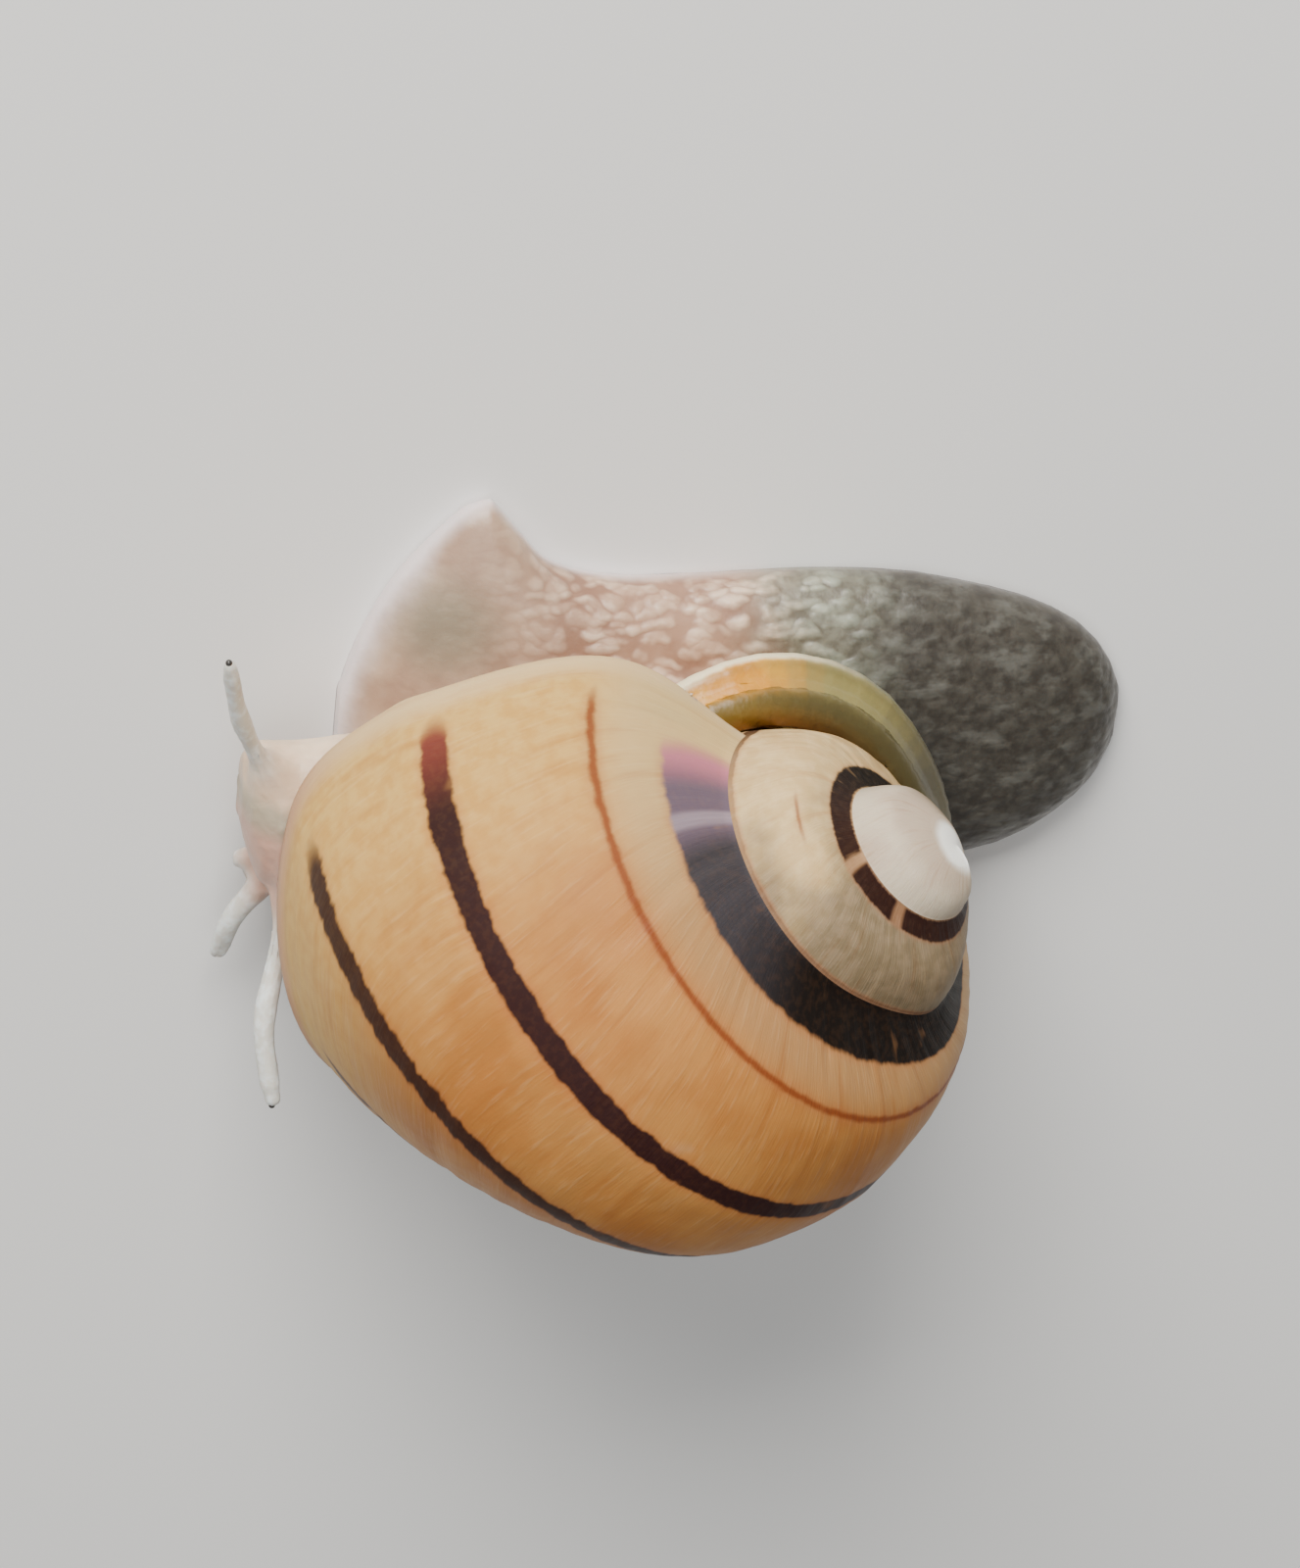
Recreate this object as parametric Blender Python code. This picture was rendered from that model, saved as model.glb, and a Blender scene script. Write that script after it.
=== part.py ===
"""Banded land snail, life size, crawling: a still museum-type model.

The sole lies on z = 0. The head points to -Y, the tail to +Y, and the snail's right side to -X.
Every named size is in millimetres; mesh_object turns them into Blender's metres.
The flesh is modelled as whole forms. A form of lower rank is cut back by GAP from each form that
it meets, so that the solids touch nothing and the cuts between them stay thin.
"""
import math

import bmesh
import bpy
from mathutils import Vector

MM = 0.001
GAP = 0.3
MIDDLE = Vector((1.85, -6.62, 0.0))      # middle of the model's box, which becomes the origin

# Shell: a right-handed spiral that grows by a constant factor each whorl.
APEX = Vector((-2.3, 0.0, 10.7))        # tip of the spire
SPIRE_HEADING = 45.3                    # degrees that the spire turns right of straight back
SPIRE_RISE = 19.4                       # degrees that the spire rises
MOUTH_TURN = 53.7                       # degrees from straight below the axis to the suture end
GROWTH = 2.284                          # growth of every length in one whorl
WHORLS = 2.5                            # whorls below the rounded nucleus
COLUMNS = 52                            # mesh columns in one whorl
UPPER_ROWS = 6                          # mesh rows from suture to seam
LOWER_SPANS = (2, 3, 4, 4)              # mesh rows between the points from seam to pillar
LIP_STEPS = 4                           # columns that the lip leads at the suture over the seam
NUCLEUS_RISE = 0.75                     # height of the rounded first whorl over its rim
BLUNT_GROWTH = 0.26                     # how much fuller the tip is than the plain spiral
BLUNT_REACH = 2.6                       # how far from the tip that fullness reaches
LEAN = Vector((-0.2, 0.56, 0.0))        # how the tip stands out from the plain spiral
LEAN_REACH = 2.5                        # how far from the tip the whorls move with it
BULGE = Vector((0.46, 0.29, 0.37))      # how far the whorl above the last one swells outward
BULGE_TURN = 0.52                       # where it swells most, in whorls back from the lip
BULGE_REACH = 2.0                       # how far from there the swelling reaches
NUCLEUS_RINGS = (0.85, 0.5)             # sizes of the rings that round it
LIP_WALL = 0.45                         # thickness of the lip
MOUTH_DEPTH = 0.03                      # depth of the open mouth, in whorls
MOUTH_CLEAR = -0.05                     # how far past the lip the hollow is cut, in whorls
MOUTH_STEPS = 24                        # mesh steps round the mouth from suture to pillar
COLLAR_STEPS = 20                       # how many of those steps the mantle fills
PILLAR_RADIUS = 0.9                     # radius of the pillar inside the mouth
COLLAR_BACK = 0.018                     # how far back into the mouth the mantle reaches, in whorls
COLLAR_PROUD = -0.006                   # how far the mantle stands past the lip, in whorls
COLLAR_CLEAR = 0.008                    # gap in front of and behind the mantle, in whorls

# Whorl section: distance from the axis, height along it, and how far the lip lies back, in whorls.
SUTURE = (5.15, -4.75, -0.008)
SHOULDER = (9.5, -6.6, 0.040)
SEAM = (SUTURE[0] * GROWTH, SUTURE[1] * GROWTH, SUTURE[2] + LIP_STEPS / COLUMNS)
PERIPHERY = (12.1, -12.5, 0.073)
LOWER_SIDE = (11.5, -16.9, 0.092)
BASE = (4.8, -22.7, 0.195)
PILLAR = (0.0, -18.2, 0.35)

# Foot: stations from the tail to the front edge, as place along Y, right edge, left edge, crown.
FOOT = (
    (7.0, -0.9, 1.1, 0.7),
    (6.55, -1.9, 2.2, 1.2),
    (5.6, -3.0, 3.3, 1.7),
    (4.0, -3.85, 4.4, 2.1),
    (2.0, -4.4, 4.9, 2.3),
    (0.0, -4.75, 5.1, 2.4),
    (-3.0, -4.8, 5.5, 2.4),
    (-6.0, -4.6, 5.8, 2.6),
    (-8.5, -4.55, 5.9, 2.9),
    (-10.3, -5.0, 6.0, 2.8),
    (-11.2, -5.8, 6.4, 2.4),
    (-11.8, -7.0, 6.8, 2.0),
    (-12.6, -7.05, 6.9, 1.8),
    (-13.8, -5.85, 6.4, 1.6),
    (-14.9, -4.3, 5.4, 1.4),
    (-15.6, -2.6, 4.0, 1.1),
    (-16.1, -0.6, 2.2, 0.7),
)
TAIL_CUT = 0.5                          # the tail ends here, under the spire
FRONT_CUT = -9.6                        # the front lobe of the foot starts here
EDGE = 0.45                             # thickness of the foot's margin
SOLE_INSET = 0.2                        # rounding from the margin to the sole
FOOT_SIDES = 22                         # points over the back of the foot
FRONT_RINGS, MIDDLE_RINGS, TAIL_RINGS = 12, 12, 9
SIDE_ROUNDING, BACK_ROUNDING = 0.9, 0.85    # powers that shape its cross-section

# Neck and head: place along Y, middle in x and z, half width, half height.
NECK = (
    (-8.4, 1.4, 3.3, 3.0, 1.1),
    (-10.0, 1.4, 3.2, 3.1, 1.25),
    (-12.5, 1.3, 3.1, 2.7, 1.35),
    (-14.5, 1.5, 3.0, 2.5, 1.4),
    (-16.3, 2.0, 2.9, 2.5, 1.45),
)
HEAD = (
    (-16.0, 1.9, 2.9, 2.5, 1.45),
    (-17.0, 2.2, 3.0, 2.65, 1.6),
    (-17.6, 2.25, 3.0, 2.65, 1.6),
    (-18.0, 2.2, 3.0, 2.6, 1.55),
)
MUZZLE = (
    (-17.9, 2.2, 3.0, 2.55, 1.5),
    (-18.45, 1.85, 2.95, 2.25, 1.35),
    (-18.85, 1.4, 2.85, 1.6, 1.1),
    (-19.08, 1.15, 2.75, 0.95, 0.65),
)
BODY_SIDES = 24

# Stalk of the body: middle and half sizes in plan, slope to the left, and height and size of rings.
TRUNK_PLACE = (1.6, -8.0)
TRUNK_HALF = (4.1, 7.0)
TRUNK_TILT = 0.12
TRUNK_RINGS = ((1.4, 1.08), (2.6, 1.0), (4.0, 0.96), (5.9, 0.95))

# Mantle edge: the crescent that shows under the right side of the spire.
CRESCENT = ((-0.6, -9.2, 4.7), (-1.9, -7.9, 4.6), (-2.9, -6.3, 4.4), (-3.25, -4.5, 4.0),
            (-2.85, -2.6, 3.7), (-1.8, -1.0, 3.6), (-0.1, 0.3, 3.6), (1.3, 1.1, 3.7), (2.5, 1.7, 3.9))
CRESCENT_WIDTH = 0.65
CRESCENT_HEIGHT = 0.95
CRESCENT_STEPS = 2                      # mesh steps between its points
CRESCENT_SIDES = 12
CRESCENT_TAPER = (0.08, 0.84)           # start and run of its swelling, in half turns

# Feelers: points along each middle line, then the radius at the foot, middle and tip.
FEELERS = {
    "tentacle_upper_right": (((0.9, -18.0, 3.5), (-0.7, -18.85, 3.9), (-2.45, -19.5, 4.6),
                              (-4.25, -19.9, 5.3)), (0.85, 0.4, 0.26)),
    "tentacle_upper_left": (((4.2, -17.4, 3.9), (5.7, -17.9, 4.7), (7.5, -18.28, 5.7),
                             (9.15, -18.05, 6.3)), (0.75, 0.43, 0.27)),
    "tentacle_lower_right": (((3.8, -17.9, 2.0), (4.25, -18.4, 1.8), (4.45, -18.7, 1.6)),
                             (0.4, 0.33, 0.27)),
    "tentacle_lower_left": (((4.4, -17.8, 2.4), (5.2, -18.35, 2.2), (6.2, -18.95, 2.1),
                             (7.6, -19.25, 1.9)), (0.42, 0.3, 0.26)),
}
FEELER_SIDES = 10
FEELER_RINGS = 9
EYE_RADIUS = 0.2
EYE_GAP = 0.1
EYE_RINGS, EYE_SIDES = 6, 8


def axes():
    """Directions of the shell: along the spire, toward the suture end, and a quarter turn back."""
    heading, rise = math.radians(SPIRE_HEADING), math.radians(SPIRE_RISE)
    spire = Vector((-math.sin(heading) * math.cos(rise), math.cos(heading) * math.cos(rise),
                    math.sin(rise)))
    below = (Vector((0, 0, -1)) + spire * spire.z).normalized()
    turn = math.radians(MOUTH_TURN)
    mouth = below * math.cos(turn) + spire.cross(below) * math.sin(turn)
    return spire, mouth, spire.cross(mouth)


SPIRE, MOUTH, SIDE = axes()


def smooth_curve(points, counts):
    """Points on a smooth curve through the given ones, with counts[i] steps after point i."""
    points = [Vector(p) for p in points]
    gaps = [math.sqrt((b - a).length) for a, b in zip(points, points[1:])]
    slopes = [(points[1] - points[0]) / gaps[0]]
    for i in range(1, len(points) - 1):
        before = (points[i] - points[i - 1]) / gaps[i - 1]
        after = (points[i + 1] - points[i]) / gaps[i]
        slopes.append((before * gaps[i] + after * gaps[i - 1]) / (gaps[i] + gaps[i - 1]))
    slopes.append((points[-1] - points[-2]) / gaps[-1])
    curve = [points[0].copy()]
    for i, count in enumerate(counts):
        for step in range(1, count + 1):
            s = step / count
            a = (1 + 2 * s) * (1 - s) ** 2
            b = s * (1 - s) ** 2 * gaps[i]
            c = s * s * (3 - 2 * s)
            d = s * s * (s - 1) * gaps[i]
            curve.append(points[i] * a + slopes[i] * b + points[i + 1] * c + slopes[i + 1] * d)
    return curve


def whorl_section():
    """Rows of the whorl's outer side, from the suture past the seam to the pillar."""
    points = (SUTURE, SHOULDER, SEAM, PERIPHERY, LOWER_SIDE, BASE, PILLAR)
    half = UPPER_ROWS // 2
    return smooth_curve(points, (half, UPPER_ROWS - half) + LOWER_SPANS)


def plain_reach(row, turn):
    """From the tip of the plain spiral to a section row, turn whorls back from the lip."""
    angle = 2 * math.pi * turn
    outward = MOUTH * math.cos(angle) + SIDE * math.sin(angle)
    return (outward * row[0] + SPIRE * row[1]) * GROWTH ** -turn


def shell_point(row, age):
    """Place of a section row on the shell, where age counts whorls back from the lip."""
    reach = plain_reach(row, row[2] + age)
    fullness = 1 + BLUNT_GROWTH * math.exp(-(reach.length / BLUNT_REACH) ** 2)
    lean = LEAN * math.exp(-(reach.length / LEAN_REACH) ** 4)
    beside = (reach - plain_reach(SUTURE, BULGE_TURN)).length / BULGE_REACH
    return APEX + reach * fullness + lean + BULGE * math.exp(-beside ** 2)


def material(name, color, roughness):
    """Plain finish for one sub-part."""
    finish = bpy.data.materials.new(name)
    finish.use_nodes = True
    shader = finish.node_tree.nodes["Principled BSDF"]
    shader.inputs["Base Color"].default_value = (*color, 1.0)
    shader.inputs["Roughness"].default_value = roughness
    shader.inputs["Metallic"].default_value = 0.0
    finish.diffuse_color = (*color, 1.0)
    return finish


def mesh_object(name, points, faces, finish=None):
    """Closed mesh object from points in millimetres, with its faces turned outward."""
    mesh = bpy.data.meshes.new(name)
    mesh.from_pydata([(Vector(p) - MIDDLE) * MM for p in points], [], faces)
    work = bmesh.new()
    work.from_mesh(mesh)
    bmesh.ops.remove_doubles(work, verts=work.verts, dist=1e-7)
    bmesh.ops.dissolve_degenerate(work, edges=work.edges, dist=1e-8)
    bmesh.ops.recalc_face_normals(work, faces=work.faces)
    if work.calc_volume(signed=True) < 0:
        bmesh.ops.reverse_faces(work, faces=work.faces)
    work.to_mesh(mesh)
    work.free()
    mesh.shade_smooth()
    mesh.set_sharp_from_angle(angle=math.radians(50))
    if finish:
        mesh.materials.append(finish)
    thing = bpy.data.objects.new(name, mesh)
    bpy.context.scene.collection.objects.link(thing)
    return thing


def ring_object(name, rings, finish=None):
    """Closed form through rings of equal even count, with ends laid straight across."""
    count = len(rings[0])
    points = [p for ring in rings for p in ring]
    ladder = [(i, i + 1, count - 2 - i, count - 1 - i) for i in range(count // 2 - 1)]
    top = (len(rings) - 1) * count
    faces = ladder + [tuple(top + i for i in rung) for rung in ladder]
    for i in range(len(rings) - 1):
        for j in range(count):
            k = (j + 1) % count
            faces.append((i * count + j, i * count + k, (i + 1) * count + k, (i + 1) * count + j))
    return mesh_object(name, points, faces, finish)


def as_cutter(thing, grow):
    """Hidden copy of a form, larger by grow all round, to cut others back with."""
    mesh = thing.data.copy()
    work = bmesh.new()
    work.from_mesh(mesh)
    work.normal_update()
    moves = [v.normal * grow * MM for v in work.verts]
    for vert, move in zip(work.verts, moves):
        vert.co += move
    work.to_mesh(mesh)
    work.free()
    cutter = bpy.data.objects.new("cutter_" + thing.name, mesh)
    bpy.context.scene.collection.objects.link(cutter)
    hide(cutter)
    return cutter


def hide(cutter):
    """Mark a guide so that it is not part of the model."""
    cutter.hide_render = True
    cutter.display_type = "WIRE"


def cut(thing, *cutters):
    """Cut the cutters out of a form. The shell's larger copy folds into itself at the suture."""
    for cutter in cutters:
        step = thing.modifiers.new("cut_" + cutter.name, "BOOLEAN")
        step.operation = "DIFFERENCE"
        step.solver = "EXACT"
        step.use_self = cutter.name == "cutter_shell"
        step.object = cutter


def shell(finish):
    """Shell: one spiral sheet closed at the nucleus and across the mouth, then hollowed there."""
    rows = whorl_section()
    last, depth = int(WHORLS * COLUMNS), len(rows) - 1
    covered = COLUMNS - LIP_STEPS       # from this column on, the next whorl hides the seam
    index, points, faces = {}, [], []

    def corner(row, column):
        if row == UPPER_ROWS and column >= covered:
            row, column = 0, column - covered
        if (row, column) not in index:
            index[row, column] = len(points)
            points.append(shell_point(rows[row], column / COLUMNS))
        return index[row, column]

    for column in range(last):
        for row in range(depth if column < covered else UPPER_ROWS):
            faces.append((corner(row, column), corner(row, column + 1),
                          corner(row + 1, column + 1), corner(row + 1, column)))

    # the rounded nucleus closes the open end of the spire
    rim = [corner(row, last) for row in range(UPPER_ROWS, 0, -1)]
    rim += [corner(0, column) for column in range(last, last - covered, -1)]
    rim_start = list(rim)
    middle = sum((points[i] for i in rim), Vector()) / len(rim)
    for part in NUCLEUS_RINGS:
        ring = list(range(len(points), len(points) + len(rim)))
        lift = SPIRE * NUCLEUS_RISE * math.sqrt(1 - part * part)
        points += [middle + (points[i] - middle) * part + lift for i in rim_start]
        faces += list(zip(rim, rim[1:] + rim[:1], ring[1:] + ring[:1], ring))
        rim = ring
    tip = len(points)
    points.append(middle + SPIRE * NUCLEUS_RISE)
    faces += [(a, b, tip) for a, b in zip(rim, rim[1:] + rim[:1])]

    # across the mouth: a fan to the pillar, then strips from the lip to the whorl before it
    pillar = [corner(depth, column) for column in range(covered + 1)]
    lip = [corner(row, 0) for row in range(depth)]
    wall = [corner(row, covered) for row in range(UPPER_ROWS, depth + 1)]
    faces += [(lip[-1], a, b) for a, b in zip(pillar, pillar[1:])]
    i = j = 0
    while i < len(lip) - 1 or j < len(wall) - 1:
        if (i + 1) / (len(lip) - 1) <= (j + 1) / (len(wall) - 1):
            faces.append((lip[i], lip[i + 1], wall[j]))
            i += 1
        else:
            faces.append((lip[i], wall[j + 1], wall[j]))
            j += 1
    faces = [face for face in faces if len(set(face)) == len(face)]

    thing = mesh_object("shell", points, faces, finish)
    bore = mouth_form("mouth_bore", LIP_WALL, MOUTH_DEPTH, MOUTH_CLEAR)
    hide(bore)
    cut(thing, bore)
    return thing


def mouth_form(name, inset, inner, outer, steps=MOUTH_STEPS, finish=None):
    """Form that fills the mouth between two ages, inset from the shell's walls."""
    rows = whorl_section()
    wall = rows[UPPER_ROWS:]
    outside, inside = [], []
    for step in range(1, steps):
        part = step / MOUTH_STEPS
        near = pick(rows, part)
        far = pick(wall, part)
        far = Vector((far.x / GROWTH, far.y / GROWTH, near.z))
        across = Vector((far.x - near.x, far.y - near.y, 0.0))
        if across.length < 2.6 * inset:
            continue
        across.normalize()
        for point, side, ring in ((near, 1, outside), (far, -1, inside)):
            place = point + across * side * inset
            place.x = max(place.x, PILLAR_RADIUS + inset)
            ring.append(place)
    loop = outside + inside[::-1]
    ages = [outer + (inner - outer) * i / 3 for i in range(4)]
    return ring_object(name, [[shell_point(p, age) for p in loop] for age in ages], finish)


def pick(row_points, part):
    """Point a given part of the way along a row of points."""
    place = part * (len(row_points) - 1)
    i = min(int(place), len(row_points) - 2)
    return row_points[i].lerp(row_points[i + 1], place - i)


def tube(points, widths, heights, sides):
    """Rings of an oval tube along a path, with rounded ends."""
    rings = []
    for i, point in enumerate(points):
        ahead = points[min(i + 1, len(points) - 1)] - points[max(i - 1, 0)]
        across = ahead.cross(Vector((0, 0, 1))).normalized()
        upward = across.cross(ahead).normalized()
        ring = []
        for k in range(sides):
            angle = 2 * math.pi * k / sides
            ring.append(point + across * widths[i] * math.cos(angle)
                        + upward * heights[i] * math.sin(angle))
        rings.append(ring)
    return rings


def mantle_edge(finish):
    """Edge of the mantle: a crescent that leaves the mouth and follows the spire round."""
    path = smooth_curve(CRESCENT, [CRESCENT_STEPS] * (len(CRESCENT) - 1))
    last = len(path) - 1
    start, run = CRESCENT_TAPER
    swell = [math.sqrt(math.sin(math.pi * (start + run * i / last))) for i in range(last + 1)]
    widths = [CRESCENT_WIDTH * s for s in swell]
    heights = [CRESCENT_HEIGHT * s for s in swell]
    return ring_object("mantle_edge", tube(path, widths, heights, CRESCENT_SIDES), finish)


def foot_station(place):
    """Foot station at a place along Y, read from a smooth curve through FOOT."""
    curve = smooth_foot()
    for a, b in zip(curve, curve[1:]):
        if b[0] <= place <= a[0]:
            part = (a[0] - place) / (a[0] - b[0])
            return [u + (v - u) * part for u, v in zip(a, b)]
    return list(curve[-1] if place < curve[-1][0] else curve[0])


def smooth_foot():
    """FOOT with its edges and crown rounded between the stations."""
    steps = [4] * (len(FOOT) - 1)
    right = smooth_curve([(s[0], s[1], s[3]) for s in FOOT], steps)
    left = smooth_curve([(s[0], s[2], s[3]) for s in FOOT], steps)
    return [(r.x, r.y, l.y, r.z) for r, l in zip(right, left)]


def foot_ring(place):
    """Cross-section of the foot: flat sole, thin margin and arched back."""
    _, right, left, crown = foot_station(place)
    middle, half = (right + left) / 2, (left - right) / 2
    edge = min(EDGE, crown * 0.6)
    inset = min(SOLE_INSET, half * 0.2)
    ring = []
    for k in range(FOOT_SIDES):
        angle = math.pi * k / (FOOT_SIDES - 1)
        side = math.copysign(abs(math.cos(angle)) ** SIDE_ROUNDING, math.cos(angle))
        lift = abs(math.sin(angle)) ** BACK_ROUNDING
        ring.append((middle + half * side, place, edge + (crown - edge) * lift))
    sole = [(middle + (half - inset) * x, place, 0.0) for x in (-1.0, -0.33, 0.33, 1.0)]
    return ring + sole


def foot_piece(name, start, end, count, rounded, finish):
    """Length of the foot between two places along Y, with closer rings toward a rounded end."""
    rings = []
    for i in range(count + 1):
        part = math.sin(i / count * math.pi / 2) if rounded else i / count
        rings.append(foot_ring(start + (end - start) * part))
    return ring_object(name, rings, finish)


def body_piece(name, stations, counts, finish):
    """Oval length of the body through its stations."""
    middles = smooth_curve([(s[1], s[0], s[2]) for s in stations], counts)
    halves = smooth_curve([(s[3], s[0], s[4]) for s in stations], counts)
    rings = []
    for middle, half in zip(middles, halves):
        ring = []
        for k in range(BODY_SIDES):
            angle = 2 * math.pi * k / BODY_SIDES
            ring.append(middle + Vector((half.x * math.cos(angle), 0, half.z * math.sin(angle))))
        rings.append(ring)
    return ring_object(name, rings, finish)


def trunk(finish):
    """Stalk of the body, which rises from the back of the foot into the mouth of the shell."""
    rings = []
    for height, grow in TRUNK_RINGS:
        ring = []
        for k in range(BODY_SIDES):
            angle = 2 * math.pi * k / BODY_SIDES
            x = TRUNK_PLACE[0] + TRUNK_HALF[0] * grow * math.cos(angle)
            y = TRUNK_PLACE[1] + TRUNK_HALF[1] * grow * math.sin(angle)
            ring.append(Vector((x, y, height + TRUNK_TILT * (x - TRUNK_PLACE[0]))))
        rings.append(ring)
    return ring_object("trunk", rings, finish)


def feeler(name, finish):
    """Tapering feeler with a rounded tip."""
    points, radii = FEELERS[name]
    spans = len(points) - 1
    path = smooth_curve(points, [FEELER_RINGS // spans] * spans)
    last = len(path) - 1
    sizes = smooth_curve([(r, 0, 0) for r in radii], [last // 2, last - last // 2])
    radius = [s.x for s in sizes]
    tip_way = (path[-1] - path[-2]).normalized()
    for part in (0.55, 0.9):
        path.append(path[last] + tip_way * radii[-1] * part)
        radius.append(radii[-1] * math.sqrt(1 - part * part))
    return ring_object(name, tube(path, radius, radius, FEELER_SIDES), finish)


def eye(name, holder, finish):
    """Small round eye just past the tip of its feeler."""
    points, radii = FEELERS[holder]
    way = (Vector(points[-1]) - Vector(points[-2])).normalized()
    middle = Vector(points[-1]) + way * (radii[-1] + EYE_GAP + EYE_RADIUS)
    rings = []
    for k in range(1, EYE_RINGS):
        angle = math.pi * k / EYE_RINGS
        ring = []
        for j in range(EYE_SIDES):
            turn = 2 * math.pi * j / EYE_SIDES
            ring.append(middle + Vector((math.sin(angle) * math.cos(turn),
                                         math.sin(angle) * math.sin(turn),
                                         math.cos(angle))) * EYE_RADIUS)
        rings.append(ring)
    return ring_object(name, rings, finish)


def build():
    """Make every sub-part and cut each one clear of its neighbours."""
    for thing in list(bpy.data.objects):
        bpy.data.objects.remove(thing, do_unlink=True)
    horn = material("shell_horn", (0.80, 0.48, 0.20), 0.35)
    mantle = material("mantle_cream", (0.72, 0.62, 0.30), 0.4)
    pale = material("flesh_pale", (0.55, 0.48, 0.42), 0.45)
    pink = material("flesh_pink", (0.45, 0.34, 0.30), 0.5)
    dark = material("flesh_dark", (0.16, 0.17, 0.15), 0.5)
    clear = material("feeler_grey", (0.60, 0.64, 0.62), 0.4)
    black = material("eye_dark", (0.02, 0.02, 0.02), 0.2)

    spiral = shell(horn)
    spiral_room = as_cutter(spiral, GAP)
    room_mouth = mouth_form("mouth_room", LIP_WALL + GAP, MOUTH_DEPTH, MOUTH_CLEAR)
    hide(room_mouth)
    cut(spiral_room, room_mouth)

    front = foot_piece("foot_front", FRONT_CUT - GAP / 2, FOOT[-1][0], FRONT_RINGS, True, pale)
    middle = foot_piece("foot_middle", TAIL_CUT - GAP / 2, FRONT_CUT + GAP / 2, MIDDLE_RINGS,
                        False, pink)
    back = foot_piece("foot_tail", TAIL_CUT + GAP / 2, FOOT[0][0], TAIL_RINGS, True, dark)
    foot_room = [as_cutter(thing, GAP) for thing in (front, middle, back)]

    collar = mouth_form("mantle_collar", LIP_WALL + GAP, COLLAR_BACK, COLLAR_PROUD, COLLAR_STEPS,
                        mantle)
    collar_room = mouth_form("collar_room", LIP_WALL, COLLAR_BACK + COLLAR_CLEAR,
                             COLLAR_PROUD - COLLAR_CLEAR, COLLAR_STEPS + 1)
    hide(collar_room)
    edge = mantle_edge(mantle)
    cut(edge, spiral_room, collar_room, *foot_room)
    mantle_room = (collar_room, as_cutter(edge, GAP))
    stalk = trunk(pink)
    cut(stalk, spiral_room, *mantle_room, *foot_room[:2])
    stalk_room = as_cutter(stalk, GAP)

    neck = body_piece("neck", NECK, (2, 2, 2, 2), pink)
    cut(neck, stalk_room, spiral_room, *mantle_room, *foot_room[:2])
    head = body_piece("head", HEAD, (3, 3, 2), pale)
    cut(head, as_cutter(neck, GAP), spiral_room, foot_room[0])
    muzzle = body_piece("muzzle", MUZZLE, (2, 2, 2), pale)
    cut(muzzle, as_cutter(head, GAP))

    head_room = as_cutter(head, GAP)
    muzzle_room = as_cutter(muzzle, GAP)
    for name in FEELERS:
        cut(feeler(name, clear), head_room, muzzle_room, spiral_room)
    for side in ("right", "left"):
        eye("eye_" + side, "tentacle_upper_" + side, black)


build()
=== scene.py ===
"""Banded land snail, life size: a still model with one skin, two eyes and one detailed shell.

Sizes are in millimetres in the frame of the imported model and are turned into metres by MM.
The head points to -Y, the snail's right side to -X, and the sole rests on z = 0.
"""
import math

import bmesh
import bpy
import numpy as np
from mathutils import Matrix, Vector
from mathutils.kdtree import KDTree


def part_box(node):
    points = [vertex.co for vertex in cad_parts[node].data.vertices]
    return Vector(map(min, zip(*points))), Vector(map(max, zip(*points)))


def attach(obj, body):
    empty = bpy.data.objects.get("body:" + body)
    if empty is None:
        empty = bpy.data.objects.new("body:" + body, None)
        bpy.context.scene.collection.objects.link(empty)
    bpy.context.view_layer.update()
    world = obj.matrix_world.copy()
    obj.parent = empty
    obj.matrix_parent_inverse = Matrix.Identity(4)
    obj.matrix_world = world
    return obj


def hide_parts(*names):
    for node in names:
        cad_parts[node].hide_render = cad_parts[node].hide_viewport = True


MM = 0.001

# ---- shell: the same spiral as the solid one ----
MIDDLE = Vector((1.85, -6.62, 0.0))
APEX = Vector((-2.3, 0.0, 10.7)) - MIDDLE
SPIRE_HEADING = 45.3  # degrees that the spire turns right of straight back
SPIRE_RISE = 19.4  # degrees that the spire rises
MOUTH_TURN = 53.7  # degrees from straight below the axis to the suture end
GROWTH = 2.284  # growth in one whorl
WHORLS = 2.5  # whorls below the rounded nucleus
LIP_LEAD = 4 / 52  # how far the lip leads the suture, in whorls
NUCLEUS_RISE = 0.75
NUCLEUS_GIRTH = 3.0  # girth that the nucleus is painted with
BLUNT_GROWTH = 0.26  # extra fullness of the first whorls
BLUNT_REACH = 2.6
LEAN = Vector((-0.2, 0.56, 0.0))  # how far the tip leans over
LEAN_REACH = 2.5
BULGE = Vector((0.46, 0.29, 0.37))  # swelling of the whorl below the tip
BULGE_TURN = 0.52
BULGE_REACH = 2.0
PILLAR_RADIUS = 0.9
SUTURE = (5.15, -4.75, -0.008)
SHOULDER = (9.5, -6.6, 0.040)
SEAM = (SUTURE[0] * GROWTH, SUTURE[1] * GROWTH, SUTURE[2] + LIP_LEAD)
PERIPHERY = (12.1, -12.5, 0.073)
LOWER_SIDE = (11.5, -16.9, 0.092)
BASE = (4.8, -22.7, 0.195)
PILLAR = (0.0, -18.2, 0.35)
SPANS = (14, 14, 8, 14, 18, 18)  # mesh rows between those section points
SEAM_ROW = SPANS[0] + SPANS[1]
COLUMNS = 364  # mesh columns in one whorl
NUCLEUS_RINGS = (0.97, 0.9, 0.8, 0.65, 0.45, 0.22)
LIP_WALL = 0.4  # wall of the shell at the lip
CALLUS = 0.1  # glaze on the whorl before it
LIP_ROLL = 0.16  # how far the rounded lip stands forward
LIP_FLARE = 0.12  # how far the lip turns outward
TUNNEL_AGE = 0.036  # depth of the hollow, in whorls
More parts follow.
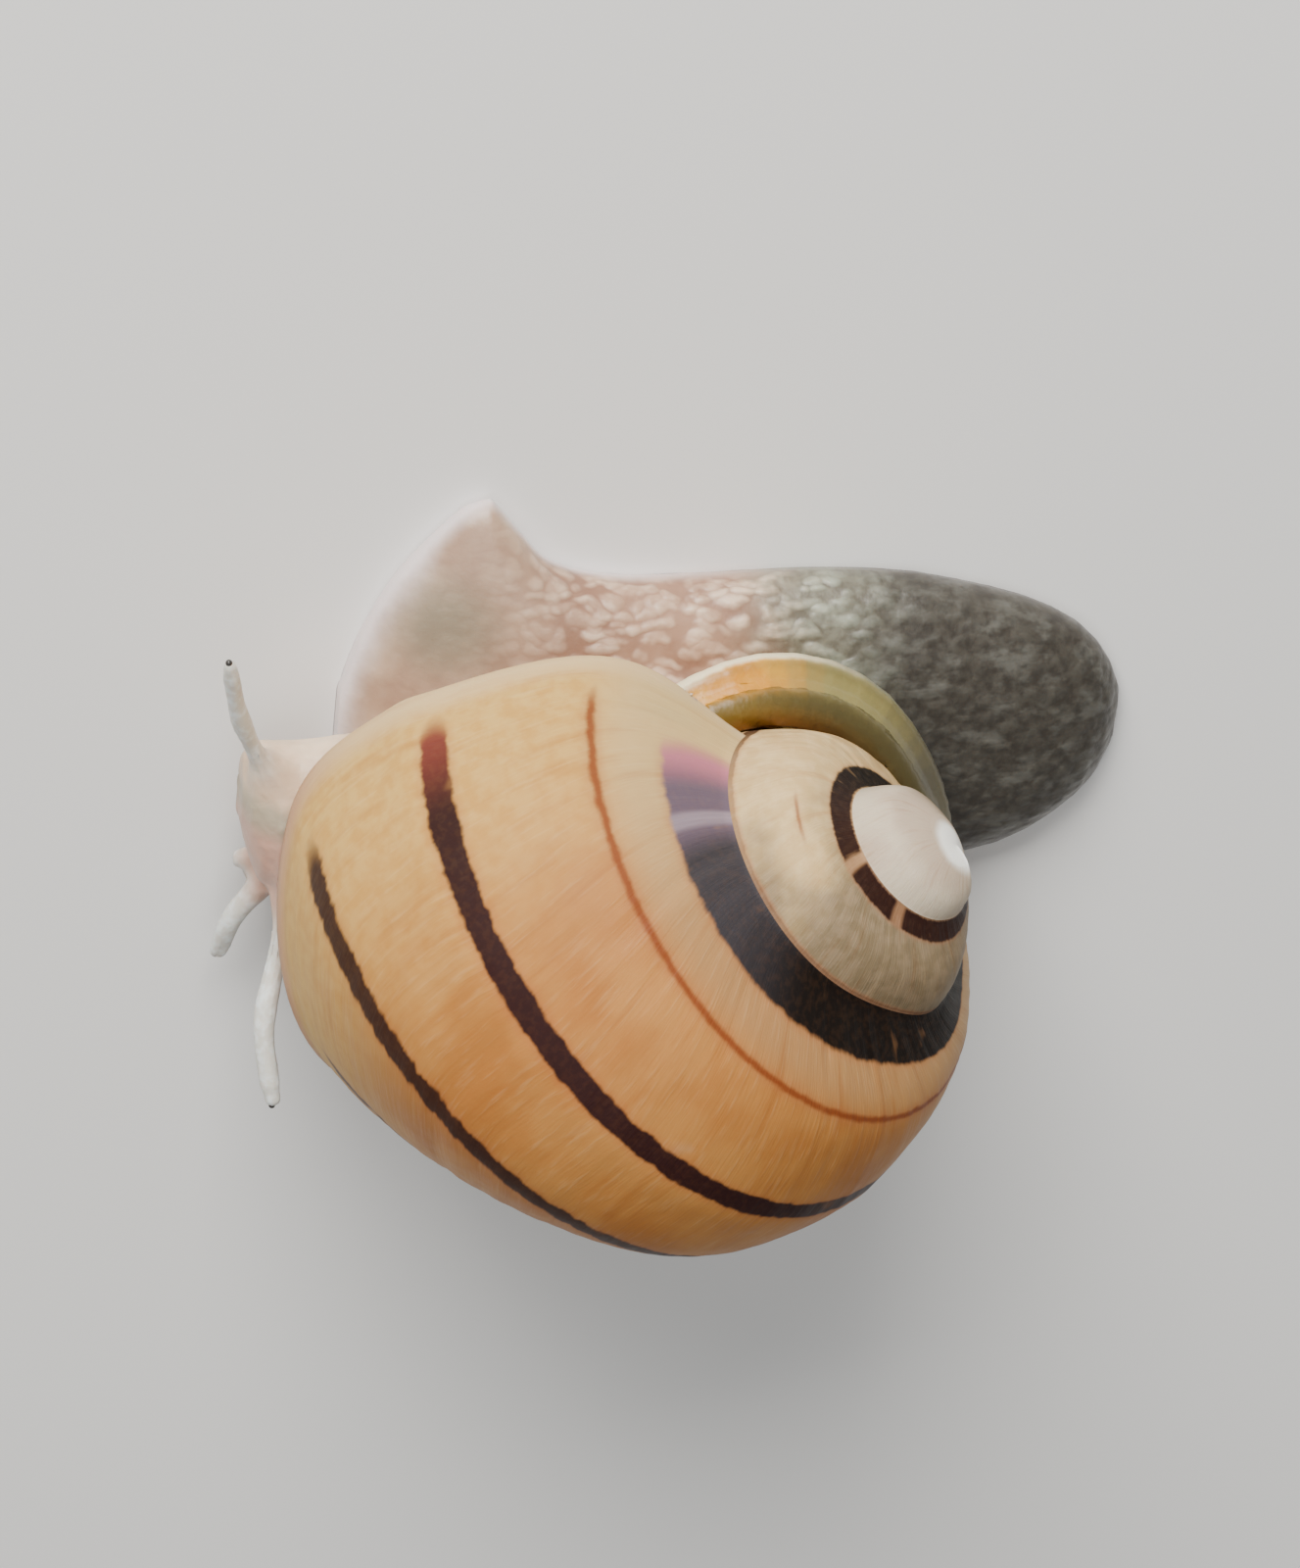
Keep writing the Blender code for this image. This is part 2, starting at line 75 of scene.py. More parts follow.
TIP_ROUNDING = (1.3, 2.4)  # how far from the tip the wear rounds the whorls off
TIP_ROUNDS = 160  # rounds of smoothing there
TIP_DOME = 0.8  # radius of the worn dome on top
TIP_BLEND = (0.2, 0.85)  # where the dome gives way to the whorls
WANDER_VALUES = 4096  # random values that a wandering line is drawn from
WANDER_SHIFT = 1000.0  # keeps its places positive

# ---- flesh ----
FLESH = ("foot_front", "foot_middle", "foot_tail", "trunk", "neck", "head", "muzzle",
         "mantle_collar", "mantle_edge", "tentacle_upper_right", "tentacle_upper_left",
         "tentacle_lower_right", "tentacle_lower_left")
FEELERS = FLESH[-4:]
JOIN = 0.2  # how far each form swells so that the cuts close
CORNER_LIMIT = 1.7  # most that a sharp corner adds to that
NEAR_STEP = 0.35  # spacing of the dots that distances are measured to
RELAX = (0.5, -0.53)  # a pull in and a push back, which smooth without shrinking
VOXEL = 0.120  # size of the skin's mesh
KNOB_RADIUS = 0.21  # swelling at the tip of an upper feeler
KNOB_BACK = 0.16  # how far it lies behind the eye
EYE_RADIUS = 0.10
EYE_DEPTH = 0.03  # how far the eye's middle lies under the feeler's tip
EYE_REACH = 0.12  # how near the feeler's line its tip is looked for

# edge of the mantle under the spire, along its middle line
CRESCENT = ((-0.6, -9.2, 4.7), (-1.9, -7.9, 4.6), (-2.9, -6.3, 4.4), (-3.25, -4.5, 4.0),
            (-2.85, -2.6, 3.7), (-1.8, -1.0, 3.6), (-0.1, 0.3, 3.6), (1.3, 1.1, 3.7), (2.5, 1.7, 3.9))
CRESCENT_HALF = (0.65, 0.95)  # half width and half height
FOLD = 0.7  # how far its inner side reaches toward the shell
END_PULL = 0.35  # how far its last part is drawn in to its end

MURKY_SPOT = (-5.3, -6.8, 1.8)  # grey-green patch on the front of the foot

# flesh that closes the mantle collar to the trunk under the lip
COLLAR_FOLD = ((-4.5, -5.4, 4.75), (-4.0, -6.2, 4.7), (-3.4, -6.9, 4.65), (-2.7, -7.5, 4.6),
               (-1.9, -8.0, 4.6), (-1.0, -8.3, 4.6), (0.0, -8.4, 4.65), (1.0, -8.2, 4.7))
FOLD_RADIUS = 0.65

# mouth on the muzzle: place of its middle along X and Z, its bend, and its depth
MOUTH_PLACE = (-0.1, 2.3)
MOUTH_BEND = 0.35
MOUTH_GROOVE = 0.13
MOUTH_LIPS = 0.06
MOUTH_LIP_OFFSET = 0.27
FACE_FRONT = (11.9, 12.1)  # how far forward the mouth begins to show

# tubercles of the skin
TUBERCLE_LENGTH = 0.74
TUBERCLE_WIDTH = 0.36
TUBERCLE_HEIGHT = 0.045
TUBERCLE_SEED = 4.0

# ---- camera ----
CAMERA_PLACE = Vector((-100.55, -32.58, 154.1))
CAMERA_RIGHT = Vector((-0.096, 0.985, 0.145))
CAMERA_BACK = Vector((-0.542, -0.174, 0.822))
CAMERA_LENS = 146.0

# ---- the set: name, place, width, power and colour of each light ----
LIGHTS = (("key_light", (-230, -70, 130), 150, 1.30, (1.0, 0.97, 0.92)),
          ("high_light", (-60, -60, 300), 220, 0.32, (1.0, 0.99, 0.97)))
LIGHT_AIM = Vector((0, 0, 6))
SKY_COLOUR = (0.86, 0.88, 0.90, 1.0)
SKY_POWER = 0.22
FLOOR_HALF = 600
FLOOR_COLOUR = (0.86, 0.86, 0.85, 1.0)


# ======== small helpers ========

def smooth_curve(points, counts):
    """Points on a smooth curve through the given ones, with counts[i] steps after point i."""
    points = [Vector(p) for p in points]
    gaps = [math.sqrt((b - a).length) for a, b in zip(points, points[1:])]
    slopes = [(points[1] - points[0]) / gaps[0]]
    for i in range(1, len(points) - 1):
        before = (points[i] - points[i - 1]) / gaps[i - 1]
        after = (points[i + 1] - points[i]) / gaps[i]
        slopes.append((before * gaps[i] + after * gaps[i - 1]) / (gaps[i] + gaps[i - 1]))
    slopes.append((points[-1] - points[-2]) / gaps[-1])
    curve = [points[0].copy()]
    for i, count in enumerate(counts):
        for step in range(1, count + 1):
            s = step / count
            a = (1 + 2 * s) * (1 - s) ** 2
            b = s * (1 - s) ** 2 * gaps[i]
            c = s * s * (3 - 2 * s)
            d = s * s * (s - 1) * gaps[i]
            curve.append(points[i] * a + slopes[i] * b + points[i + 1] * c + slopes[i + 1] * d)
    return curve


def ease(value, low, high):
    """0 below low, 1 above high and a smooth rise between, for numbers or arrays."""
    part = np.clip((np.asarray(value, dtype=float) - low) / (high - low), 0.0, 1.0)
    return part * part * (3 - 2 * part)


def wander(place, step, seed):
    """Smooth random line between -1 and 1, with one random value for each step of place."""
    values = np.random.RandomState(seed).uniform(-1.0, 1.0, WANDER_VALUES)
    scaled = np.asarray(place, dtype=float) / step + WANDER_SHIFT
    whole = np.floor(scaled).astype(int)
    part = ease(scaled - whole, 0.0, 1.0)
    here, following = whole % WANDER_VALUES, (whole + 1) % WANDER_VALUES
    return values[here] * (1 - part) + values[following] * part


def add_object(name, data):
    """Object for a mesh, light or camera, linked to the scene at the origin."""
    thing = bpy.data.objects.new(name, data)
    bpy.context.scene.collection.objects.link(thing)
    return thing


def corners(mesh):
    """Places of a mesh's points as an array, in millimetres."""
    flat = np.empty(len(mesh.vertices) * 3)
    mesh.vertices.foreach_get("co", flat)
    return flat.reshape(-1, 3) / MM


def set_corners(mesh, places):
    """Put a mesh's points at new places, given in millimetres."""
    mesh.vertices.foreach_set("co", (places * MM).ravel())
    mesh.update()


def outward(mesh):
    """Directions out of the surface at a mesh's points."""
    flat = np.empty(len(mesh.vertices) * 3)
    mesh.vertices.foreach_get("normal", flat)
    return flat.reshape(-1, 3)


def turn_outward(mesh):
    """Make every face of a closed mesh face outward."""
    work = bmesh.new()
    work.from_mesh(mesh)
    bmesh.ops.recalc_face_normals(work, faces=work.faces)
    if work.calc_volume(signed=True) < 0:
        bmesh.ops.reverse_faces(work, faces=work.faces)
    work.to_mesh(mesh)
    work.free()
    mesh.update()


# ======== shell ========

def shell_axes():
    """Directions of the shell: along the spire, toward the suture end, and a quarter turn back."""
    heading, rise = math.radians(SPIRE_HEADING), math.radians(SPIRE_RISE)
    spire = Vector((-math.sin(heading) * math.cos(rise), math.cos(heading) * math.cos(rise),
                    math.sin(rise)))
    below = (Vector((0, 0, -1)) + spire * spire.z).normalized()
    turn = math.radians(MOUTH_TURN)
    mouth = below * math.cos(turn) + spire.cross(below) * math.sin(turn)
    return np.array(spire), np.array(mouth), np.array(spire.cross(mouth))


def on_spiral(rows, ages):
    """Places on the shell of section rows (radius, height, lag) at ages in whorls from the lip."""
    spire, mouth, side = shell_axes()
    rows = np.atleast_2d(np.asarray(rows, dtype=float))
    turn = rows[:, 2] + np.asarray(ages, dtype=float)
    angle = 2 * np.pi * turn
    away = np.outer(np.cos(angle), mouth) + np.outer(np.sin(angle), side)
    reach = (away * rows[:, :1] + np.outer(rows[:, 1], spire)) * (GROWTH ** -turn)[:, None]
    far = np.linalg.norm(reach, axis=1)[:, None]
    fullness = 1 + BLUNT_GROWTH * np.exp(-(far / BLUNT_REACH) ** 2)
    lean = np.array(LEAN) * np.exp(-(far / LEAN_REACH) ** 4)
    angle = 2 * math.pi * BULGE_TURN
    bulge = (mouth * math.cos(angle) + side * math.sin(angle)) * SUTURE[0] + spire * SUTURE[1]
    beside = np.linalg.norm(reach - bulge * GROWTH ** -BULGE_TURN, axis=1)[:, None]
    swell = np.array(BULGE) * np.exp(-(beside / BULGE_REACH) ** 2)
    return np.array(APEX) + reach * fullness + lean + swell


def growth_relief(age, girth):
    """Height of the growth ripples and small dents, in millimetres."""
    slant = age + 0.0009 * wander(girth, 2.3, 3)
    ripples = 0.020 * wander(slant, 0.011, 11) + 0.013 * wander(slant, 0.0052, 12)
    folds = -0.035 * ease(wander(slant, 0.019, 13), 0.45, 0.95)
    dents = -0.05 * ease(wander(age, 0.017, 14) * wander(girth, 1.3, 15), 0.45, 0.9)
    return (ripples + folds + dents) * GROWTH ** -np.clip(age, 0, 3)


def make_shell():
    """Shell: spiral wall, rounded nucleus, rolled lip and a hollow mouth, as one closed mesh."""
    section = (SUTURE, SHOULDER, SEAM, PERIPHERY, LOWER_SIDE, BASE, PILLAR)
    rows = np.array(smooth_curve(section, SPANS))
    girth = np.r_[0.0, np.cumsum(np.linalg.norm(np.diff(rows[:, :2], axis=0), axis=1))]
    depth = len(rows) - 1
    last = int(WHORLS * COLUMNS)
    covered = COLUMNS - int(LIP_LEAD * COLUMNS)
    index = np.full((depth + 1, last + 1), -1)
    places, ages, girths, faces, coils = [], [], [], [], []
    for column in range(last + 1):
        for row in range(depth + 1 if column <= covered else SEAM_ROW):
            if row == SEAM_ROW and column >= covered:
                continue
            index[row, column] = len(places)
            places.append((row, column))
            ages.append(column / COLUMNS)
            girths.append(girth[row])
    for column in range(covered, last + 1):
        index[SEAM_ROW, column] = index[0, column - covered]
    grid = np.array(places)
    points = list(on_spiral(rows[grid[:, 0]], grid[:, 1] / COLUMNS))

    def face(ids, uvs):
        faces.append(tuple(int(i) for i in ids))
        coils.append(uvs)

    def join_rings(first, second, uv_of):
        for k in range(len(first)):
            j = (k + 1) % len(first)
            face((first[k], first[j], second[j], second[k]), (uv_of(k),) * 4)

    for column in range(last):
        here, ahead = column / COLUMNS, (column + 1) / COLUMNS
        for row in range(depth if column < covered else SEAM_ROW):
            top, low = girth[row], girth[row + 1]
            face((index[row, column], index[row, column + 1], index[row + 1, column + 1],
                  index[row + 1, column]), ((here, top), (ahead, top), (ahead, low), (here, low)))

    # rounded nucleus
    spire_line = shell_axes()[0]
    rim = [index[row, last] for row in range(SEAM_ROW, 0, -1)]
    rim += [index[0, column] for column in range(last, last - covered, -1)]
    middle = np.mean([points[i] for i in rim], axis=0)
    first = [points[i] for i in rim]
    mark = (WHORLS, NUCLEUS_GIRTH)
    for part in NUCLEUS_RINGS:
        ring = list(range(len(points), len(points) + len(rim)))
        lift = spire_line * NUCLEUS_RISE * math.sqrt(1 - part * part)
        points += [middle + (p - middle) * part + lift for p in first]
        ages += [WHORLS] * len(rim)
        girths += [NUCLEUS_GIRTH] * len(rim)
        join_rings(rim, ring, lambda k: mark)
        rim = ring
    tip = len(points)
    points.append(middle + spire_line * NUCLEUS_RISE)
    ages.append(WHORLS)
    girths.append(NUCLEUS_GIRTH)
    for k in range(len(rim)):
        face((rim[k], rim[(k + 1) % len(rim)], tip), (mark,) * 3)

    # pillar, lip, tunnel and back of the mouth
    lip_rows = list(range(depth))
    wall_rows = list(range(depth, SEAM_ROW, -1))
    for column in range(covered):
        face((index[depth - 1, 0], index[depth, column], index[depth, column + 1]),
             ((0.0, girth[depth]),) * 3)
    loop = [index[row, 0] for row in lip_rows] + [index[row, covered] for row in wall_rows]
    near = [rows[row] for row in lip_rows]
    far = [rows[row] / (GROWTH, GROWTH, 1.0) for row in wall_rows]
    section = np.array(near + far)
    for k, row in enumerate(wall_rows):
        section[len(near) + k, 2] = rows[row][2] - LIP_LEAD
    part = np.r_[np.arange(depth) / depth, (np.array(wall_rows) - SEAM_ROW) / (depth - SEAM_ROW)]
    mate_far = np.array([np.interp(part, (np.arange(SEAM_ROW, depth + 1) - SEAM_ROW)
                                   / (depth - SEAM_ROW), rows[SEAM_ROW:, axis] / GROWTH)
                         for axis in (0, 1)]).T
    mate_near = np.array([np.interp(part, np.arange(depth + 1) / depth, rows[:, axis])
                          for axis in (0, 1)]).T
    on_lip = np.arange(len(loop)) < depth
    target = np.where(on_lip[:, None], mate_far, mate_near)
    across = target - section[:, :2]
    gap = np.linalg.norm(across, axis=1)
    across = across / np.maximum(gap, 1e-6)[:, None]
    wall = np.where(on_lip, LIP_WALL, CALLUS)
    inset = np.minimum(wall, 0.4 * gap)
    roll = LIP_ROLL * np.where(on_lip, np.sqrt(np.sin(np.pi * np.clip(part, 0.0, 1.0))), 0.0)

    def mouth_ring(share, forward, age):
        ring = section.copy()
        ring[:, :2] += across * (inset * share)[:, None]
        ring[:, 0] = np.maximum(ring[:, 0], np.minimum(1.0, share) * PILLAR_RADIUS * (part > 0.5))
        forward_age = forward * roll / (2 * np.pi * np.maximum(ring[:, 0], 4.0))
        return list(on_spiral(ring, np.full(len(ring), age) - forward_age))

    steps = ((0.18, 0.75, 0.0), (0.5, 1.0, 0.0), (0.82, 0.75, 0.0), (1.0, 0.1, 0.0),
             (1.0, 0.0, 0.006), (1.0, 0.0, 0.015), (1.0, 0.0, TUNNEL_AGE))
    inner = loop
    for share, forward, age in steps:
        ring = list(range(len(points), len(points) + len(loop)))
        points += mouth_ring(share, forward, age)
        ages += [0.0] * len(loop)
        girths += [girth[-1] * 0.5] * len(loop)
        join_rings(inner, ring, lambda k: (-0.01 - age, part[k] * girth[-1]))
        inner = ring
    back = (-0.01 - TUNNEL_AGE, 10.0)
    i, j = 0, len(loop) - 1
    while j - i > 2:
        low = i / (depth - 1)
        high = (len(loop) - 1 - j) / (len(loop) - 1 - depth)
        if (low <= high and i < depth - 1) or j <= depth:
            face((inner[i], inner[i + 1], inner[j]), (back,) * 3)
            i += 1
        else:
            face((inner[i], inner[j - 1], inner[j]), (back,) * 3)
            j -= 1
    if j - i == 2:
        face((inner[i], inner[i + 1], inner[j]), (back,) * 3)

    mesh = bpy.data.meshes.new("striped_shell")
    mesh.from_pydata([Vector(p) * MM for p in points], [], faces)
    coil = mesh.uv_layers.new(name="coil")
    coil.data.foreach_set("uv", np.array([uv for one in coils for uv in one]).ravel())
    turn_outward(mesh)

    # growth ripples, and the lip turned a little outward
    age, span = np.array(ages), np.array(girths)
    upper = ease(span, 0.0, 0.6) * ease(WHORLS - age, 0.0, 0.15)
    seam_fade = np.where(age > covered / COLUMNS, ease(girth[SEAM_ROW] - span, 0.0, 0.6), 1.0)
    on_wall = np.arange(len(points)) < len(grid)
    lift = growth_relief(age, span) * upper * seam_fade * ease(girth[-1] - span, 1.0, 5.0)
    flare = LIP_FLARE * (1 - ease(age, 0.0, 0.013)) * ease(span, 1.0, 4.0)
    flare *= ease(girth[-1] - span, 2.0, 6.0)
    move = np.where(on_wall, lift + flare, 0.0)
    whole = corners(mesh) + outward(mesh) * move[:, None]
    start = len(points) - len(steps) * len(loop)
    normals = outward(mesh)
    rolled = 5
    for number in range(rolled):
        rest = 1.0 - number / rolled
        for k in range(len(loop)):
            whole[start + number * len(loop) + k] += normals[loop[k]] * move[loop[k]] * rest

    # worn tip
    away = whole - whole[tip]
    reach = np.linalg.norm(away, axis=1)
    height = away @ spire_line
    out = np.linalg.norm(away - np.outer(height, spire_line), axis=1)
    dome = -out ** 2 / (2 * TIP_DOME)
    share = (1 - ease(out, *TIP_BLEND)) * (reach < TIP_ROUNDING[0])
    whole = whole + np.outer((dome - height) * share, spire_line)
    soften = (0.5 * (1 - ease(reach, *TIP_ROUNDING)))[:, None]
    near_tip = soften[:, 0] > 0
    a, b = edge_ends(mesh)
    kept = near_tip[a] | near_tip[b]
    whole = softened(whole, (a[kept], b[kept]), TIP_ROUNDS, soften)
    set_corners(mesh, whole)
    add_mark(mesh, "worn", 1 - ease(np.linalg.norm(whole - whole[tip], axis=1), 0.3, 1.5))
    mesh.shade_smooth()
    return add_object("striped_shell", mesh)


# ======== skin ========

def node_copy(name):
    """Merged copy of a CAD node's mesh, swollen evenly so that the cuts close."""
    work = bmesh.new()
    work.from_mesh(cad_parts[name].data)
    bmesh.ops.remove_doubles(work, verts=work.verts, dist=2e-6)
    bmesh.ops.dissolve_degenerate(work, edges=work.edges, dist=2e-6)
    work.normal_update()
    moves = [v.normal * min(v.calc_shell_factor(), CORNER_LIMIT) * JOIN * MM for v in work.verts]
    for vert, move in zip(work.verts, moves):
        vert.co += move
    mesh = bpy.data.meshes.new("swollen_" + name)
    work.to_mesh(mesh)
    work.free()
    return mesh


def ball(middle, radius, name):
    """Smooth ball with its middle given in millimetres."""
    work = bmesh.new()
    bmesh.ops.create_icosphere(work, subdivisions=3, radius=radius * MM,
                               matrix=Matrix.Translation(Vector(middle) * MM))
    mesh = bpy.data.meshes.new(name)
    work.to_mesh(mesh)
    work.free()
    return mesh


def middle_of(name):
    """Middle of a CAD node, in millimetres."""
    low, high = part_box(name)
    return (Vector(low) + Vector(high)) / 2 / MM


def join_meshes(name, meshes):
    """One object from several meshes."""
    work = bmesh.new()
    for mesh in meshes:
        work.from_mesh(mesh)
        bpy.data.meshes.remove(mesh)
    whole = bpy.data.meshes.new(name)
    work.to_mesh(whole)
    work.free()
    return add_object(name, whole)


def finished(thing):
    """Replace an object's mesh by its evaluated one and drop its modifiers."""
    graph = bpy.context.evaluated_depsgraph_get()
    mesh = bpy.data.meshes.new_from_object(thing.evaluated_get(graph), preserve_all_data_layers=True,
                                           depsgraph=graph)
    old = thing.data
    thing.modifiers.clear()
    thing.data = mesh
    mesh.name = thing.name
    bpy.data.meshes.remove(old)


def edge_ends(mesh):
    """The two points of every edge, as arrays."""
    flat = np.empty(len(mesh.edges) * 2, dtype=np.int64)
    mesh.edges.foreach_get("vertices", flat)
    return flat[0::2], flat[1::2]


def softened(values, ends, rounds, strength):
    """Values drawn toward the mean of their neighbours, each by its own strength."""
    a, b = ends
    used, small = np.unique(np.r_[a, b], return_inverse=True)
    a, b = small[:len(a)], small[len(a):]
    part = values[used]
    pull = strength[used] if isinstance(strength, np.ndarray) else strength
    count = np.bincount(np.r_[a, b], minlength=len(used)).astype(float)[:, None]
    for _ in range(rounds):
        total = np.stack([np.bincount(np.r_[a, b], weights=np.r_[part[b, k], part[a, k]],
                                      minlength=len(used)) for k in range(part.shape[1])], axis=1)
        part = part + (total / count - part) * pull
    values = values.copy()
    values[used] = part
    return values


def relaxed(values, ends, rounds):
    """Places smoothed over the mesh without shrinking it."""
    a, b = ends
    count = np.bincount(np.r_[a, b], minlength=len(values)).astype(float)
    count = np.maximum(count, 1.0)[:, None]
    for _ in range(rounds):
        for pull in RELAX:
            total = np.zeros_like(values)
            np.add.at(total, a, values[b])
            np.add.at(total, b, values[a])
            values = values + (total / count - values) * pull
    return values


def near_node(places, names):
    """Distance in millimetres from each place to the nearest surface point of some CAD nodes."""
    dots = []
    for name in names:
        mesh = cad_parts[name].data
        spots = corners(mesh)
        dots.append(spots)
        mesh.calc_loop_triangles()
        flat = np.empty(len(mesh.loop_triangles) * 3, dtype=np.int64)
        mesh.loop_triangles.foreach_get("vertices", flat)
        tri = spots[flat.reshape(-1, 3)]
        long = np.linalg.norm(tri - np.roll(tri, 1, axis=1), axis=2).max(axis=1)
        for size in range(2, 8):
            fits = long <= NEAR_STEP * size if size < 7 else True
            some = tri[(long > NEAR_STEP * (size - 1)) & fits]
            for i in range(size + 1):
                for j in range(size + 1 - i):
                    a, b = i / size, j / size
                    dots.append(some[:, 0] * a + some[:, 1] * b + some[:, 2] * (1 - a - b))
    dots = np.concatenate(dots)
    tree = KDTree(len(dots))
    for i, dot in enumerate(dots):
        tree.insert(dot, i)
    tree.balance()
    return np.array([tree.find(p)[2] for p in places])


def add_mark(mesh, name, values):
    """Store one number for each point of a mesh."""
    layer = mesh.attributes.new(name, "FLOAT", "POINT")
    layer.data.foreach_set("value", np.asarray(values, dtype=np.float32))


def make_skin(finish):
    """Skin: every flesh form joined into one smooth surface, then given its fine relief."""
    meshes = [node_copy(name) for name in FLESH]
    for side in ("right", "left"):
        eye = middle_of("eye_" + side)
        stem = (middle_of("tentacle_upper_" + side) - eye).normalized()
        meshes.append(ball(eye + stem * KNOB_BACK, KNOB_RADIUS + JOIN, "knob_" + side))
    meshes += [ball(place, FOLD_RADIUS + JOIN, "fold") for place in COLLAR_FOLD]
    skin = join_meshes("snail_skin", meshes)
    remesh = skin.modifiers.new("one_skin", "REMESH")
    remesh.mode = "VOXEL"
    remesh.voxel_size = VOXEL * MM
    remesh.use_smooth_shade = True
    finished(skin)
    mesh = skin.data
    ends = edge_ends(mesh)
    places = relaxed(corners(mesh), ends, 5)
    set_corners(mesh, places)
    other = near_node(places, [n for n in FLESH if n not in FEELERS and n != "mantle_edge"])
    feeler = ease(other - near_node(places, FEELERS), -0.1, 0.6)
    mantle = ease(other - near_node(places, ["mantle_edge"]), 0.0, 0.3)
    face = near_node(places, ["head", "muzzle"])
    foot = near_node(places, ["foot_front"])
    head = (1 - ease(face, 0.0, 1.8)) * ease(foot - face, -0.5, 0.4)
    upper = ease(other - near_node(places, FEELERS[:2]), -0.1, 0.6)
    eyes = [np.array(middle_of("eye_" + side)) for side in ("right", "left")]
    back = np.minimum(*[np.linalg.norm(places - eye, axis=1) for eye in eyes])
    slim = upper * (0.08 * ease(back, 0.4, 2.2) + 0.20 * ease(back, 2.6, 5.0))
    slim = softened(slim[:, None], ends, 6, 0.5)[:, 0]
    places = places - outward(mesh) * (JOIN - 0.04 * feeler + slim)[:, None]
    places = relaxed(places, ends, 2)
    lobe = ease(-places[:, 0], 3.6, 5.4) * ease(-places[:, 1], 2.0, 3.6) * 0.5
    places = softened(places, ends, 30, lobe[:, None])
    pinch = (1 - ease(face, 0.3, 0.9)) * (1 - ease(foot, 0.3, 0.9)) * 0.5
    end = mantle * ease(crescent_marks(places)[1], 0.70, 0.85) * 0.5
    places = softened(places, ends, 30, np.maximum(pinch, end)[:, None])
    seams = ease(feeler, 0.05, 0.5) * ease(1 - feeler, 0.05, 0.5) * 0.5
    places = softened(places, ends, 12, softened(seams[:, None], ends, 3, 0.5))
    set_corners(mesh, places)
    turn, along, gap, inward = crescent_marks(places)
    # painted shade: the hollow between the mantle edge and the spire, which skin_material colours as
    # its warm golden shadow
    inside = ease(np.where(turn < -0.75, 1.0, turn), 0.50, 0.62)
    shade = inside * (1 - ease(gap, 1.6, 3.4)) * (1 - mantle) * ease(places[:, 2], 2.6, 3.6)
    shaped = shape_mantle(places, outward(mesh), mantle, turn, along, inward)
    front = ease(-places[:, 1], *FACE_FRONT)
    mouth = mouth_line(places, 0.0) * front
    lips = mouth_line(places, MOUTH_LIP_OFFSET) * front
    shaped = shaped + outward(mesh) * (MOUTH_LIPS * lips - MOUTH_GROOVE * mouth)[:, None]
    shaped[:, 2] = np.maximum(shaped[:, 2], 0.0)
    set_corners(mesh, shaped)
    clear = ease(places[:, 2], 0.35, 0.9) * (1 - mantle) * (1 - feeler) * (1 - shade)
    line = places[:, 1]
    bumpy = 0.12 + 0.88 * ease(line, -6.0, -2.0) - 0.62 * ease(line, 4.0, 7.5)
    rough = clear * np.where(line < -9.5, 0.25, bumpy)
    marks = (("feeler", feeler * ease(other, 0.0, 1.6)), ("mantle", mantle), ("head", head),
             ("rough", rough), ("mouth", mouth), ("painted_shade_under_shell", shade), ("crescent_turn", turn),
             ("crescent_along", along))
    for name, values in marks:
        add_mark(mesh, name, softened(values[:, None], ends, 2, 0.5)[:, 0])
    raise_tubercles(skin, finish)
    return skin


def mouth_line(places, offset):
    """1 on the bent line of the mouth, or on the lips at some offset from it, and 0 elsewhere."""
    aside = places[:, 0] - MOUTH_PLACE[0]
    above = places[:, 2] - MOUTH_PLACE[1] + MOUTH_BEND * aside ** 2
    return np.exp(-((np.abs(above) - offset) / 0.13) ** 2) * (1 - ease(np.abs(aside), 0.45, 0.85))


def crescent_marks(places):
    """For each place: half turns round the mantle edge, part along it, distance, and way inward."""
    path = np.array(smooth_curve([Vector(p) - MIDDLE for p in CRESCENT], [14] * (len(CRESCENT) - 1)))
    ahead = np.gradient(path, axis=0)
    ahead /= np.linalg.norm(ahead, axis=1)[:, None]
    across = np.cross(ahead, (0.0, 0.0, 1.0))
    across /= np.linalg.norm(across, axis=1)[:, None]
    above = np.cross(across, ahead)
    gap = np.linalg.norm(places[:, None, :] - path[None, ::4, :], axis=2)
    nearest = np.argmin(gap, axis=1) * 4
    away = places - path[nearest]
    out = -np.einsum("ij,ij->i", away, across[nearest]) / CRESCENT_HALF[0]
    rise = np.einsum("ij,ij->i", away, above[nearest]) / CRESCENT_HALF[1]
    return np.arctan2(rise, out) / np.pi, nearest / (len(path) - 1), gap.min(axis=1), across[nearest]


def shape_mantle(places, normals, mantle, turn, along, inward):
    """Raise the rim of the mantle edge, sink the trough beside it and close it to the shell."""
    fade = mantle * (1 - ease(along, 0.8, 1.0))
    trough = ease(turn, -0.02, 0.16) * (1 - ease(turn, 0.34, 0.50))
    rim = ease(turn, -0.30, -0.14) * (1 - ease(turn, -0.10, 0.04))
    ridge = ease(turn, 0.36, 0.46) * (1 - ease(turn, 0.46, 0.58))
    move = fade * (0.10 * rim - 0.30 * trough + 0.06 * ridge)
    close = FOLD * mantle * ease(turn, 0.36, 0.58) * (1 - ease(turn, 0.80, 1.0))
    close *= ease(along, 0.0, 0.12) * (1 - ease(along, 0.80, 1.0))
    shaped = places + normals * move[:, None] + inward * close[:, None]
    end = np.array(Vector(CRESCENT[-1]) - MIDDLE)
    tip = END_PULL * mantle * ease(along, 0.80, 1.0)
    return shaped + (end - shaped) * tip[:, None]


